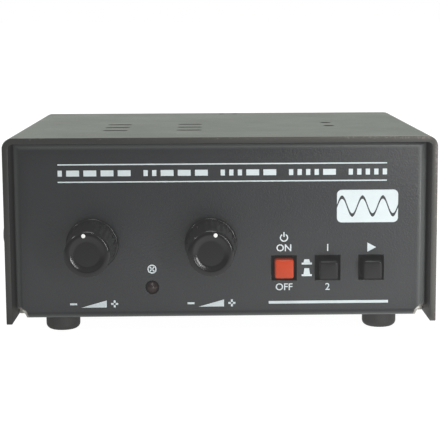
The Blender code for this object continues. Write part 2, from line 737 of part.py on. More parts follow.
def make_control(prefix, x, pointer, looks):
    """A rotary control: its body behind the panel, washer and nut in front, shaft and knob."""
    z = BOARD_TOP + POT_RISE
    body_y = PANEL_INNER_Y + RUN_GAP
    bore = POT_SHAFT_RADIUS + RUN_GAP
    bushing = CHASSIS_SHEET + RUN_GAP + POT_BUSHING_REACH
    bore_depth = POT_SHAFT_INNER + RUN_GAP
    profile = [
        (0, -POT_DEPTH),
        (POT_RADIUS, -POT_DEPTH),
        (POT_RADIUS, 0),
        (POT_BUSHING_RADIUS, 0),
        (POT_BUSHING_RADIUS, bushing),
        (bore, bushing),
        (bore, -bore_depth),
        (0, -bore_depth),
    ]
    body = placed(prefix + "_control_body", turned(profile), looks["steel"], (x, body_y, z), FACE_FRONT)
    half = POT_WAFER_WIDTH / 2
    wafer = block(
        (x - half, body_y + POT_DEPTH - POT_WAFER_DEPTH - RUN_GAP, ON_BOARD),
        (x + half, body_y + POT_DEPTH - RUN_GAP, z - POT_RADIUS / 2),
    )
    unite(body, helper(wafer))

    washer_y = PANEL_Y - SEAT_GAP
    washer = [
        (POT_BUSHING_RADIUS + SEAT_GAP, 0),
        (POT_WASHER_RADIUS, 0),
        (POT_WASHER_RADIUS, POT_WASHER_THICKNESS),
        (POT_BUSHING_RADIUS + SEAT_GAP, POT_WASHER_THICKNESS),
    ]
    placed(prefix + "_washer", turned(washer, ring=True), looks["steel"], (x, washer_y, z), FACE_FRONT)
    nut_y = washer_y - POT_WASHER_THICKNESS - SEAT_GAP
    nut = [
        (POT_BUSHING_RADIUS + SEAT_GAP, 0),
        (POT_NUT_HALF_FLATS, 0, hexagon),
        (POT_NUT_HALF_FLATS, POT_NUT_THICKNESS, hexagon),
        (POT_BUSHING_RADIUS + SEAT_GAP, POT_NUT_THICKNESS),
    ]
    placed(prefix + "_nut", turned(nut, TINY_SIDES, ring=True), looks["steel"], (x, nut_y, z), FACE_FRONT)

    axis = axis_empty(prefix + "_axis", (x, PANEL_Y, z))
    knob_y = PANEL_Y - KNOB_STANDOFF
    shaft_back = body_y + POT_SHAFT_INNER
    shaft_front = knob_y - SHAFT_IN_KNOB
    flat_start = knob_y - KNOB_CAVITY_DEPTH + RUN_GAP
    shaft = placed(
        prefix + "_shaft",
        cylinder(POT_SHAFT_RADIUS, shaft_front, shaft_back, ROUND_SIDES),
        looks["aluminium"],
        (x, 0, z),
        FACE_REAR,
        axis,
    )
    reach = POT_SHAFT_RADIUS + CUT_OVERRUN
    flat_low = (x - reach, shaft_front - CUT_OVERRUN, z + POT_SHAFT_FLAT)
    flat_high = (x + reach, flat_start, z + reach)
    carve(shaft, helper(block(flat_low, flat_high)))
    make_knob(prefix, (x, knob_y, z), pointer, looks["knob"], axis)


def flutes(angle):
    return 1 - KNOB_FLUTE_DEPTH / KNOB_BODY_RADIUS * (0.5 - 0.5 * math.cos(KNOB_FLUTES * angle))


def make_knob(prefix, place, pointer, look, axis):
    """A moulded knob with a base ring, a fluted taper, a dished front and a pointer dot."""
    front = KNOB_LENGTH
    rim_inner = KNOB_FRONT_RADIUS - KNOB_RIM_WIDTH
    flute_start = KNOB_BASE_THICKNESS + KNOB_EDGE
    profile = [
        (0, KNOB_CAVITY_DEPTH),
        (KNOB_CAVITY_RADIUS, KNOB_CAVITY_DEPTH),
        (KNOB_CAVITY_RADIUS, 0),
        (KNOB_BASE_RADIUS - KNOB_EDGE / 2, 0),
        (KNOB_BASE_RADIUS, KNOB_EDGE / 2),
        (KNOB_BASE_RADIUS, KNOB_BASE_THICKNESS - KNOB_EDGE / 2),
        (KNOB_BODY_RADIUS, KNOB_BASE_THICKNESS),
        (KNOB_BODY_RADIUS, flute_start, flutes),
        (KNOB_FRONT_RADIUS, front - KNOB_SMOOTH_BAND, flutes),
        (KNOB_FRONT_RADIUS, front - KNOB_SMOOTH_BAND + KNOB_EDGE / 2),
    ]
    profile += arc((KNOB_FRONT_RADIUS - KNOB_EDGE, front - KNOB_EDGE), KNOB_EDGE, 0, 90, EDGE_STEPS)
    profile += [
        (rim_inner, front),
        (rim_inner - KNOB_DISH_SLOPE, front - KNOB_DISH_DEPTH),
        (0, front - KNOB_DISH_DEPTH),
    ]
    knob = placed(prefix + "_knob", turned(profile, 2 * KNOB_FLUTES), look, place, FACE_FRONT, axis)
    grow = RUN_GAP
    outline = d_outline(POT_SHAFT_RADIUS + grow, POT_SHAFT_FLAT + grow)
    bore_end = SHAFT_IN_KNOB + KNOB_BORE_END_GAP
    bore = extruded(outline, KNOB_CAVITY_DEPTH - CUT_OVERRUN, bore_end, along_z)
    carve(knob, helper(bore, place, FACE_FRONT))
    reach = KNOB_FRONT_RADIUS - POINTER_INSET
    dot_x = place[0] + reach * math.sin(pointer)
    dot_z = place[2] + reach * math.cos(pointer)
    dimple = cylinder(POINTER_RADIUS, front - POINTER_DEPTH, front + CUT_OVERRUN, TINY_SIDES)
    carve(knob, helper(dimple, (dot_x, place[1], dot_z), FACE_FRONT))


def make_led(look):
    """The pilot light: a lens through the panel, with two bent leads down to the board."""
    z = BOARD_TOP + LED_RISE
    lens_steps = arc((0, 0), LED_RADIUS, 0, 90)
    straight = LED_LENGTH - LED_RADIUS
    dome = [(radius, straight + rise) for radius, rise in lens_steps[:-1]]
    profile = [(0, 0), (LED_FLANGE_RADIUS, 0), (LED_FLANGE_RADIUS, LED_FLANGE_THICKNESS)]
    profile += [(LED_RADIUS, LED_FLANGE_THICKNESS)] + dome + [(0, LED_LENGTH)]
    back = PANEL_Y - LED_PROUD + LED_LENGTH
    led = placed("pilot_light", turned(profile, SMALL_SIDES), look, (LED_X, back, z), FACE_FRONT)
    half = LED_LEAD_WIDTH / 2
    bend = back + LED_LEAD_REACH
    start = back - LED_FLANGE_THICKNESS / 2
    path = [
        (start, z + half),
        (bend, z + half),
        (bend, ON_BOARD),
        (bend - LED_LEAD_WIDTH, ON_BOARD),
        (bend - LED_LEAD_WIDTH, z - half),
        (start, z - half),
    ]
    for side in (-1, 1):
        x = LED_X + side * LED_LEAD_SPACING
        unite(led, helper(extruded(path, x - half, x + half, along_x)))


def make_button(prefix, x, pressed, looks, cap_look):
    """A push button: cap and plunger on a slide, and the switch housing on the board."""
    z = BOARD_TOP + BUTTON_RISE
    front = PANEL_Y - CAP_OUT + pressed
    cap_rear = front + CAP_LENGTH
    axis = axis_empty(prefix + "_slide", (x, front, z))
    half = CAP_SIDE / 2
    cap_mesh = block((-half, 0, -half), (half, CAP_LENGTH, half), CAP_EDGE)
    cap = placed(prefix + "_button", cap_mesh, cap_look, (x, front, z), parent=axis)
    socket_half = PLUNGER_SIDE / 2 + RUN_GAP
    socket_low = (x - socket_half, cap_rear - CAP_SOCKET_DEPTH, z - socket_half)
    socket_high = (x + socket_half, cap_rear + CUT_OVERRUN, z + socket_half)
    carve(cap, helper(block(socket_low, socket_high)))

    plunger_front = cap_rear - CAP_SOCKET_DEPTH + RUN_GAP
    plunger_rear = SWITCH_FRONT_Y + PLUNGER_ENGAGE + pressed
    half = PLUNGER_SIDE / 2
    plunger_mesh = block(
        (-half, plunger_front - front, -half), (half, plunger_rear - front, half), CAP_EDGE / 2, 1
    )
    placed(prefix + "_plunger", plunger_mesh, looks["ivory"], (x, front, z), parent=axis)

    rise = z - ON_BOARD
    wide = HOUSING_WIDTH / 2
    low = (x - wide, SWITCH_FRONT_Y, z - rise)
    high = (x + wide, SWITCH_FRONT_Y + HOUSING_DEPTH, z + rise)
    housing = placed(prefix + "_switch", block(low, high, HOUSING_EDGE, 1), looks["switch"])
    bore_low = (x - socket_half, SWITCH_FRONT_Y - CUT_OVERRUN, z - socket_half)
    bore_depth = PLUNGER_ENGAGE + PRESS_TRAVEL + RUN_GAP
    bore_high = (x + socket_half, SWITCH_FRONT_Y + bore_depth, z + socket_half)
    carve(housing, helper(block(bore_low, bore_high)))


def make_speaker(looks):
    """The loudspeaker, glued by its rim under the cover's slots, facing up."""
    x = SPEAKER_X
    y = SPEAKER_Y
    top = COVER_UNDERSIDE - SEAT_GAP
    rim_inner = SPEAKER_RADIUS - SPEAKER_RIM_WIDTH
    floor = -SPEAKER_DEPTH
    profile = [
        (0, floor),
        (SPEAKER_NECK_RADIUS, floor),
        (rim_inner + SPEAKER_WALL, -SPEAKER_RIM_THICKNESS),
        (SPEAKER_RADIUS, -SPEAKER_RIM_THICKNESS),
        (SPEAKER_RADIUS, 0),
        (rim_inner, 0),
        (rim_inner, -SPEAKER_RIM_THICKNESS),
        (SPEAKER_NECK_RADIUS - SPEAKER_WALL, floor + SPEAKER_WALL),
        (0, floor + SPEAKER_WALL),
    ]
    frame = placed("speaker_frame", turned(profile), looks["steel"], (x, y, top))
    half = SPEAKER_WINDOW / 2
    low = floor + 2 * SPEAKER_WALL
    high = -SPEAKER_RIM_THICKNESS - SPEAKER_WALL
    for reach_x, reach_y in ((SPEAKER_RADIUS, half), (half, SPEAKER_RADIUS)):
        window = block((-reach_x, -reach_y, low), (reach_x, reach_y, high))
        carve(frame, helper(window, (x, y, top)))

    cone_edge = rim_inner - RUN_GAP
    cone_top = -RUN_GAP
    neck = cone_top - CONE_DEPTH
    cone_profile = [
        (0, neck + CONE_DOME_RISE - CONE_WALL),
        (CONE_NECK_RADIUS * math.cos(math.pi / 4), neck + CONE_DOME_RISE / 2 - CONE_WALL),
        (CONE_NECK_RADIUS, neck - CONE_WALL),
        (cone_edge - CONE_WALL, cone_top - CONE_WALL),
        (cone_edge, cone_top - CONE_WALL),
        (cone_edge, cone_top),
        (cone_edge - CONE_WALL, cone_top),
        (CONE_NECK_RADIUS, neck),
        (CONE_NECK_RADIUS * math.cos(math.pi / 4), neck + CONE_DOME_RISE / 2),
        (0, neck + CONE_DOME_RISE),
    ]
    placed("speaker_cone", turned(cone_profile), looks["paper"], (x, y, top))
    magnet_top = top - SPEAKER_DEPTH - SEAT_GAP
    magnet = cylinder(MAGNET_RADIUS, -MAGNET_HEIGHT, 0, ROUND_SIDES)
    placed("speaker_magnet", magnet, looks["magnet"], (x, y, magnet_top))


def make_trimmers(looks):
    """Two small preset controls under the cover's access holes."""
    for prefix, (x, y) in zip(("weight_trimmer", "tone_trimmer"), trimmer_places()):
        half = TRIMMER_SIDE / 2
        low = (x - half, y - half, ON_BOARD)
        top = ON_BOARD + TRIMMER_HEIGHT
        body = placed(prefix + "_body", block(low, (x + half, y + half, top)), looks["trimmer"])
        well = cylinder(ROTOR_RADIUS + RUN_GAP, -TRIMMER_WELL_DEPTH, CUT_OVERRUN)
        carve(body, helper(well, (x, y, top)))
        axis = axis_empty(prefix + "_axis", (x, y, top))
        rotor_low = RUN_GAP - TRIMMER_WELL_DEPTH
        rotor_mesh = cylinder(ROTOR_RADIUS, rotor_low, rotor_low + ROTOR_HEIGHT)
        rotor = placed(prefix + "_rotor", rotor_mesh, looks["ivory"], (x, y, top), parent=axis)
        wide = ROTOR_SLOT_WIDTH / 2
        slot_low = rotor_low + ROTOR_HEIGHT - ROTOR_SLOT_DEPTH
        reach = ROTOR_RADIUS + CUT_OVERRUN
        slot = block((-wide, -reach, slot_low), (wide, reach, rotor_low + ROTOR_HEIGHT + CUT_OVERRUN))
        carve(rotor, helper(slot, (x, y, top)))


def make_chip(looks):
    """The keyer chip in its socket."""
    y = CHIP_Y
    half_length = SOCKET_LENGTH / 2
    half_width = SOCKET_WIDTH / 2
    socket_top = ON_BOARD + SOCKET_HEIGHT
    low = (CHIP_X - half_length, y - half_width, ON_BOARD)
    high = (CHIP_X + half_length, y + half_width, socket_top)
    placed("chip_socket", block(low, high), looks["socket"])
    chip_low = socket_top + CHIP_LIFT
    half_length = CHIP_LENGTH / 2
    half_width = CHIP_WIDTH / 2
    body_low = (CHIP_X - half_length, y - half_width, chip_low)
    body_high = (CHIP_X + half_length, y + half_width, chip_low + CHIP_HEIGHT)
    chip = placed("keyer_chip", block(body_low, body_high), looks["socket"])
    legs = []
    wide = CHIP_LEG_WIDTH / 2
    foot_z = socket_top + SEAT_GAP
    mid_z = chip_low + CHIP_HEIGHT / 2
    for step in range(CHIP_LEGS):
        x = CHIP_X + (step - (CHIP_LEGS - 1) / 2) * CHIP_LEG_PITCH
        for side in (-1, 1):
            inner = y + side * (half_width - CHIP_LEG_THICKNESS)
            outer = y + side * (half_width + CHIP_LEG_THICKNESS)
            near, far = sorted((inner, outer))
            legs.append(((x - wide, near, foot_z), (x + wide, far, mid_z)))
    unite(chip, helper(blocks(legs)))


def can_mesh(radius, height):
    """An electrolytic capacitor's can, with the crimp near its foot."""
    groove = CAN_GROOVE
    profile = [
        (0, 0),
        (radius - groove, 0),
        (radius, groove),
        (radius, 2 * groove),
        (radius - groove, 3 * groove),
        (radius, 4 * groove),
        (radius, height - groove),
        (radius - groove, height),
        (0, height),
    ]
    return turned(profile, SMALL_SIDES)


def transistor_mesh():
    """A small moulded transistor on three legs; Z = 0 is the legs' lower end."""
    rise = math.degrees(math.asin(TRANSISTOR_FLAT / TRANSISTOR_RADIUS))
    outline = arc((0, 0), TRANSISTOR_RADIUS, 180 - rise, 360 + rise, TINY_SIDES)
    low = TRANSISTOR_LEG_LENGTH
    body = placed("transistor", extruded(outline, low, low + TRANSISTOR_HEIGHT, along_z))
    half = TRANSISTOR_LEG / 2
    legs = []
    for step in (-1, 0, 1):
        x = step * TRANSISTOR_LEG_PITCH
        legs.append(((x - half, -half, 0), (x + half, half, low + TRANSISTOR_LEG)))
    unite(body, helper(blocks(legs)))
    return settled(body)


def make_board_parts(looks):
    """The larger parts that stand on the board."""
    y = CHIP_Y + SOCKET_WIDTH / 2 + CAN_FROM_SOCKET
    placed("supply_capacitor", can_mesh(CAN_RADIUS, CAN_HEIGHT), looks["can"], (CAN_SUPPLY_X, y, ON_BOARD))
    small = can_mesh(SMALL_CAN_RADIUS, SMALL_CAN_HEIGHT)
    x = board_step()[0] + CAN_AUDIO_FROM_EDGE
    placed("audio_capacitor", small, looks["can"], (x, y, ON_BOARD))
    transistor = transistor_mesh()
    x = BOARD_HALF_WIDTH - REGULATOR_FROM_EDGE
    y = SWITCH_FRONT_Y + HOUSING_DEPTH + REGULATOR_FROM_SWITCH
    placed("regulator", transistor, looks["socket"], (x, y, ON_BOARD))
    x = BOARD_HALF_WIDTH - KEYING_FROM_EDGE
    y = JACK_FRONT_Y - KEYING_FROM_JACKS
    placed("keying_transistor", transistor, looks["socket"], (x, y, ON_BOARD))
    half_depth = RESONATOR_DEPTH / 2
    y = CHIP_Y - RESONATOR_FROM_CHIP
    right = CHIP_X - SOCKET_LENGTH / 2 - RESONATOR_FROM_SOCKET
    low = (right - RESONATOR_WIDTH, y - half_depth, ON_BOARD)
    high = (right, y + half_depth, ON_BOARD + RESONATOR_HEIGHT)
    placed("resonator", block(low, high, RESONATOR_DEPTH / 4), looks["resonator"])


def battery_box():
    """Lowest and highest corner of the battery's body, which lies along the left side."""
    clip = CLIP_SHEET + SEAT_GAP
    low_x = -CHASSIS_HALF_WIDTH + CHASSIS_SHEET + BATTERY_LEFT_GAP
    high_y = REAR_INNER_Y - BATTERY_REAR_GAP
    low_z = FLOOR_TOP + SEAT_GAP + clip
    low = Vector((low_x, high_y - BATTERY_LENGTH, low_z))
    return low, low + Vector((BATTERY_WIDTH, BATTERY_LENGTH, BATTERY_HEIGHT))


def make_battery(looks):
    """A nine-volt battery lying in its spring clip, with the snap on its terminals."""
    low, high = battery_box()
    middle = (low + high) / 2
    battery = placed("battery", block(low, high, BATTERY_EDGE), looks["battery"])
    sides = TINY_SIDES
    stud = cylinder(TERMINAL_RADIUS, -BATTERY_EDGE, TERMINAL_REACH, sides)
    recess = cylinder(TERMINAL_RADIUS + RUN_GAP, -CUT_OVERRUN, TERMINAL_REACH + RUN_GAP, sides)
    snap_rear = low.y - RUN_GAP
    snap_low = (middle.x - SNAP_WIDTH / 2, snap_rear - SNAP_THICKNESS, middle.z - SNAP_HEIGHT / 2)
    snap_high = (middle.x + SNAP_WIDTH / 2, snap_rear, middle.z + SNAP_HEIGHT / 2)
    snap = placed("battery_snap", block(snap_low, snap_high), looks["snap"])
    for side in (-1, 1):
        place = (middle.x + side * TERMINAL_HALF_PITCH, low.y, middle.z)
        unite(battery, helper(stud, place, FACE_FRONT))
        carve(snap, helper(recess, place, FACE_FRONT))

    left = low.x - SEAT_GAP
    right = high.x + SEAT_GAP
    base = FLOOR_TOP + SEAT_GAP
    arm_top = base + BATTERY_HEIGHT * CLIP_ARM_SHARE
    outline = [
        (left - CLIP_SHEET, base),
        (right + CLIP_SHEET, base),
        (right + CLIP_SHEET, arm_top - CLIP_LIP / 2),
        (right + CLIP_SHEET + CLIP_LIP / 2, arm_top),
        (right + CLIP_LIP / 2, arm_top),
        (right, arm_top - CLIP_LIP / 2),
        (right, base + CLIP_SHEET),
        (left, base + CLIP_SHEET),
        (left, arm_top),
        (left - CLIP_SHEET, arm_top),
    ]
    half = CLIP_LENGTH / 2
    clip = extruded(outline, middle.y - half, middle.y + half, along_y)
    placed("battery_clip", clip, looks["steel"])


def make_jacks(looks):
    """The rear jacks: bodies on the board's tail, bushings through the rear panel, nuts outside."""
    z = jack_axis_z()
    back = REAR_INNER_Y - RUN_GAP
    bushing_end = RUN_GAP + CHASSIS_SHEET + JACK_BUSHING_REACH
    names = ("paddle_jack", "key_jack", "power_jack")
    for name, x, bushing in zip(names, jack_xs(), jack_bushing_radii()):
        half = JACK_BODY_WIDTH / 2
        low = (x - half, JACK_FRONT_Y, ON_BOARD)
        high = (x + half, back, ON_BOARD + JACK_BODY_HEIGHT)
        jack = placed(name, block(low, high), looks["socket"])
        place = (x, back, z)
        unite(jack, helper(cylinder(bushing, -JACK_BODY_DEPTH / 2, bushing_end), place, FACE_REAR))
        if name == "power_jack":
            ring = [
                (POWER_PIN_RADIUS, bushing_end - POWER_BORE_DEPTH),
                (POWER_BORE_RADIUS, bushing_end - POWER_BORE_DEPTH),
                (POWER_BORE_RADIUS, bushing_end + CUT_OVERRUN),
                (0, bushing_end + CUT_OVERRUN),
                (0, bushing_end - POWER_PIN_INSET),
                (POWER_PIN_RADIUS, bushing_end - POWER_PIN_INSET),
            ]
            bore = turned(ring, SMALL_SIDES, ring=True)
        else:
            bore = cylinder(JACK_BORE_RADIUS, bushing_end - JACK_BORE_DEPTH, bushing_end + CUT_OVERRUN)
        carve(jack, helper(bore, place, FACE_REAR))
        flats = bushing + JACK_NUT_WALL
        hole = bushing + SEAT_GAP
        nut = [
            (hole, 0),
            (flats, 0, hexagon),
            (flats, JACK_NUT_THICKNESS, hexagon),
            (hole, JACK_NUT_THICKNESS),
        ]
        nut_place = (x, REAR_Y + SEAT_GAP, z)
        placed(name + "_nut", turned(nut, TINY_SIDES, ring=True), looks["steel"], nut_place, FACE_REAR)


def smooth_points(route):
    """Points of one smooth curve through a route, by Catmull-Rom, about a step's length apart."""
    ends = [2 * route[0] - route[1]] + route + [2 * route[-1] - route[-2]]
    points = []
    for a, b, c, d in zip(ends, ends[1:], ends[2:], ends[3:]):
        steps = max(2, round((c - b).length / LEAD_STEP_LENGTH))
        for step in range(steps):
            t = step / steps
            curve = 2 * b + (c - a) * t + (2 * a - 5 * b + 4 * c - d) * t**2 + (3 * b - a - 3 * c + d) * t**3
            points.append(curve / 2)
    return points + [route[-1]]


def make_lead(name, route, look):
    """A thin twin lead inside the case, as a bevelled curve."""
    curve = bpy.data.curves.new(name, "CURVE")
    curve.dimensions = "3D"
    curve.bevel_depth = LEAD_RADIUS
    curve.bevel_resolution = 2
    curve.use_fill_caps = True
    spline = curve.splines.new("POLY")
    points = smooth_points([Vector(point) for point in route])
    spline.points.add(len(points) - 1)
    for target, point in zip(spline.points, points):
        target.co = (*point, 1.0)
    curve.materials.append(look)
    lead = bpy.data.objects.new(name, curve)
    bpy.context.scene.collection.objects.link(lead)


def make_leads(look):
    """One lead from the loudspeaker's rim to a pad beside the chip, one from the battery snap."""
    x = SPEAKER_X + SPEAKER_RADIUS - LEAD_RADIUS
    rim_z = COVER_UNDERSIDE - SEAT_GAP - SPEAKER_RIM_THICKNESS - RUN_GAP
    chip_top = ON_BOARD + SOCKET_HEIGHT + CHIP_LIFT + CHIP_HEIGHT
    pad_x = CHIP_X - SOCKET_LENGTH / 2 - LEAD_PAD_GAP
    pad_y = CHIP_Y + SOCKET_WIDTH / 2
    speaker_route = [
        (x, SPEAKER_Y, rim_z),
        (x, SPEAKER_Y, rim_z - LEAD_STRAIGHT),
        (x, SPEAKER_Y, rim_z - 3 * LEAD_STRAIGHT),
        (pad_x, pad_y, chip_top + LEAD_STRAIGHT),
        (pad_x, pad_y, ON_BOARD + LEAD_STRAIGHT),
        (pad_x, pad_y, ON_BOARD),
    ]
    make_lead("speaker_lead", speaker_route, look)
    low, high = battery_box()
    middle = (low + high) / 2
    snap_side = middle.x + SNAP_WIDTH / 2 + RUN_GAP
    y = low.y - RUN_GAP - SNAP_THICKNESS / 2
    pad_x = board_step()[0] + LEAD_FROM_EDGE
    battery_route = [
        (snap_side, y, middle.z),
        (snap_side + LEAD_STRAIGHT / 2, y, middle.z),
        (pad_x - LEAD_STRAIGHT / 2, y, middle.z - LEAD_RADIUS / 2),
        (pad_x, y, middle.z - LEAD_STRAIGHT / 2),
        (pad_x, y, ON_BOARD),
    ]
    make_lead("battery_lead", battery_route, look)


def main():
    clear_scene()
    case = material("textured_charcoal_paint", (0.055, 0.057, 0.058), 0.55)
    cover = material("textured_cover_paint", (0.060, 0.062, 0.056), 0.55)
    looks = {
        "steel": material("plated_steel", (0.55, 0.55, 0.53), 0.35, 1.0),
        "aluminium": material("shaft_aluminium", (0.72, 0.72, 0.73), 0.30, 1.0),
        "knob": material("gloss_black_knob", (0.020, 0.020, 0.020), 0.18),
        "ivory": material("ivory_plastic", (0.72, 0.68, 0.56), 0.45),
        "switch": material("grey_switch_plastic", (0.30, 0.31, 0.32), 0.50),
        "socket": material("black_plastic", (0.022, 0.022, 0.023), 0.45),
        "trimmer": material("blue_trimmer_plastic", (0.05, 0.18, 0.45), 0.45),
        "can": material("capacitor_sleeve", (0.03, 0.05, 0.16), 0.35),
        "resonator": material("orange_resonator", (0.62, 0.24, 0.05), 0.45),
        "paper": material("black_paper_cone", (0.035, 0.035, 0.035), 0.90),
        "magnet": material("ferrite_magnet", (0.10, 0.10, 0.11), 0.60),
        "battery": material("battery_jacket", (0.10, 0.10, 0.11), 0.40),
        "snap": material("soft_black_vinyl", (0.03, 0.03, 0.03), 0.60),
    }
    rubber = material("black_rubber", (0.030, 0.030, 0.031), 0.75)
    screw = material("black_screw", (0.05, 0.05, 0.05), 0.40, 0.6)
    board = material("green_board", (0.03, 0.16, 0.07), 0.40)
    red = material("red_cap", (0.62, 0.080, 0.035), 0.40)
    black = material("black_cap", (0.025, 0.025, 0.026), 0.35)
    lens = material("dark_red_lens", (0.10, 0.012, 0.012), 0.15)
    lead = material("grey_lead", (0.20, 0.20, 0.20), 0.50)

    make_chassis(case)
    make_cover(cover)
    make_cover_screws(screw)
    make_feet(rubber)
    make_board(board, looks["steel"])
    make_control("speed", SPEED_X, SPEED_POINTER, looks)
    make_control("volume", VOLUME_X, VOLUME_POINTER, looks)
    make_led(lens)
    buttons = zip(("power", "mode", "message"), button_xs(), (LATCH_DEPTH, 0, 0), (red, black, black))
    for prefix, x, pressed, cap_look in buttons:
        make_button(prefix, x, pressed, looks, cap_look)
    make_speaker(looks)
    make_trimmers(looks)
    make_chip(looks)
    make_board_parts(looks)
    make_battery(looks)
    make_jacks(looks)
    make_leads(lead)


main()
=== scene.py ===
"""Looks of the morse code keyer: a folded metal box with knobs, a pilot light and push buttons.

Everything is in metres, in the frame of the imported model: +Z up, the front panel faces -Y.
"""

import math

import bmesh
import bpy
from mathutils import Matrix, Vector


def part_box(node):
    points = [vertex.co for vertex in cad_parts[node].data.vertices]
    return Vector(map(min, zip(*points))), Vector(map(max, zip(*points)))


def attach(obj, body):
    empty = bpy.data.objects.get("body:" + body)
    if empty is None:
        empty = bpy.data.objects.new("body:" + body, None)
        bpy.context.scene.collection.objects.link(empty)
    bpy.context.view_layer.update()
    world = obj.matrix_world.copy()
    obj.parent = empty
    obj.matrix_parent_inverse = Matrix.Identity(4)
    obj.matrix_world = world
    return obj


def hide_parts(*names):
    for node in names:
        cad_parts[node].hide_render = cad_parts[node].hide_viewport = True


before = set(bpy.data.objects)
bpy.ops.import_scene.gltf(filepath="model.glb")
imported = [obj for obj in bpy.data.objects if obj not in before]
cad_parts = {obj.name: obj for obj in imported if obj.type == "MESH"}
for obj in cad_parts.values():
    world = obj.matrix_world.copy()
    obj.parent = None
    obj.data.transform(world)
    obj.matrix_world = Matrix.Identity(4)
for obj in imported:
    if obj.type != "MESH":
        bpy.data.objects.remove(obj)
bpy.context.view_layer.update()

# Camera
# The keyer is seen from a little above and almost straight on, from a third of a metre away. The camera's
# place, turns and lens follow from the corners and marks of the box.
CAMERA_PLACE = Vector((-0.00246, -0.37756, 0.07964))
CAMERA_PITCH = math.radians(8.097)
CAMERA_YAW = math.radians(1.507)
CAMERA_ROLL = math.radians(-0.224)
CAMERA_LENS_MM = 112.67
CAMERA_SENSOR_MM = 36
CAMERA_SHIFT = (-0.0618, -0.0111)
VIEW_RANGE = (0.01, 50)


def new_object(name, data):
    """An object with its data, put into the scene."""
    thing = bpy.data.objects.new(name, data)
    bpy.context.scene.collection.objects.link(thing)
    return thing


camera = new_object("camera", bpy.data.cameras.new("camera"))
camera.data.sensor_width = CAMERA_SENSOR_MM
camera.data.lens = CAMERA_LENS_MM
camera.data.shift_x, camera.data.shift_y = CAMERA_SHIFT
camera.data.clip_start, camera.data.clip_end = VIEW_RANGE
heading = Matrix.Rotation(-CAMERA_YAW, 4, "Z") @ Matrix.Rotation(math.pi / 2 - CAMERA_PITCH, 4, "X")
camera.matrix_world = Matrix.Translation(CAMERA_PLACE) @ heading @ Matrix.Rotation(CAMERA_ROLL, 4, "Z")
bpy.context.scene.camera = camera

# Studio
# A pale floor without an end in a white room, under a soft sun, with two strip lamps at the front right, a
# small lamp above and a weak one at the upper left. The camera sees floor and room white. In reflections
# the floor is brightest in a pool at the front right and the room at the back. A haze lifts the blacks.
FLOOR_HALF = 30.0
FLOOR_DROP = 0.0001
FLOOR_COLOUR = (0.16, 0.16, 0.158)
FLOOR_ROUGHNESS = 0.9
FLOOR_GLOW = 0.98
POOL_ACROSS = (-0.09, 0.14, 0.57, 2.08)
POOL_FAR = (-0.30, -0.07, 0.16, 1.28)
POOL_NEAR = (-0.060, -0.042, 1.0, 0.30)
ROOM_WHITE = 1.0
ROOM_TINT = (0.93, 1, 0.90)
FRONT_LIGHT = 0.10
BACK_LIGHT = 1.10
BACK_SPAN = (-0.2, 0.6)
WALL_TOP = 0.55
CEILING_LIGHT = 0.40
TOP_STRENGTH = 1.7
TOP_SPREAD = math.radians(30)
TOP_TILT = (math.radians(6), 0, 0)
HAZE = 0.026
LAMP_AIM = Vector((0, 0, 0.02))
# Name, place, width and height, roll in degrees, power
LAMPS = (
    ("key_strip", (0.246, -0.56, 0.080), (0.035, 0.16), 23.7, 0.70),
    ("spark_strip", (0.165, -0.56, 0.180), (0.035, 0.12), 59, 0.22),
    ("high_lamp", (0.03, -0.25, 0.28), (0.03, 0.02), 0, 0.07),
    ("fill_lamp", (-0.36, -0.42, 0.30), (0.03, 0.03), 0, 0.36),
)


def add_node(tree, kind, inputs=None, **settings):
    """Add a shader node. An input is given a value, or the socket that feeds it."""
    made = tree.nodes.new(kind)
    for key, value in settings.items():
        setattr(made, key, value)
    for key, value in (inputs or {}).items():
        if isinstance(value, bpy.types.NodeSocket):
            tree.links.new(value, made.inputs[key])
        else:
            made.inputs[key].default_value = value
    return made


def math_node(tree, operation, *values):
    return add_node(tree, "ShaderNodeMath", dict(enumerate(values)), operation=operation).outputs[0]


def remap(tree, value, low, high, start=0.0, end=1.0, kind="SMOOTHSTEP"):
    """start below low, end above high, and what lies between."""
    inputs = {"Value": value, "From Min": low, "From Max": high, "To Min": start, "To Max": end}
    return add_node(tree, "ShaderNodeMapRange", inputs, interpolation_type=kind).outputs[0]


def mix_colours(tree, mask, under, over):
    """The over colour laid on the under colour where the mask is 1."""
    return add_node(tree, "ShaderNodeMix", {0: mask, 6: under, 7: over}, data_type="RGBA").outputs[2]


def place_axes(tree, kind="Object"):
    """The place on the surface, and the same split along x, y and z."""
    place = add_node(tree, "ShaderNodeTexCoord").outputs[kind]
    return place, add_node(tree, "ShaderNodeSeparateXYZ", {0: place}).outputs


def camera_level(tree, camera_value, other):
    """One strength for what the camera sees, and another for light and reflections."""
    seen = add_node(tree, "ShaderNodeLightPath").outputs["Is Camera Ray"]
    return remap(tree, seen, 0.0, 1.0, other, camera_value)


floor_mesh = bpy.data.meshes.new("floor")
corner_signs = ((-1, -1), (1, -1), (1, 1), (-1, 1))
floor_corners = [(x * FLOOR_HALF, y * FLOOR_HALF, -FLOOR_DROP) for x, y in corner_signs]
floor_mesh.from_pydata(floor_corners, [], [(0, 1, 2, 3)])
floor = new_object("floor", floor_mesh)
floor_look = bpy.data.materials.new("pale_floor")
floor_look.use_nodes = True
floor_tree = floor_look.node_tree
floor_axes = place_axes(floor_tree)[1]
pool_across = remap(floor_tree, floor_axes[0], *POOL_ACROSS)
pool_far = remap(floor_tree, floor_axes[1], *POOL_FAR)
pool_near = remap(floor_tree, floor_axes[1], *POOL_NEAR)
pool_depth = math_node(floor_tree, "MULTIPLY", pool_far, pool_near)
pool = math_node(floor_tree, "MULTIPLY", pool_across, pool_depth)
floor_shader = floor_tree.nodes["Principled BSDF"].inputs
floor_shader["Base Color"].default_value = (*FLOOR_COLOUR, 1)
floor_shader["Roughness"].default_value = FLOOR_ROUGHNESS
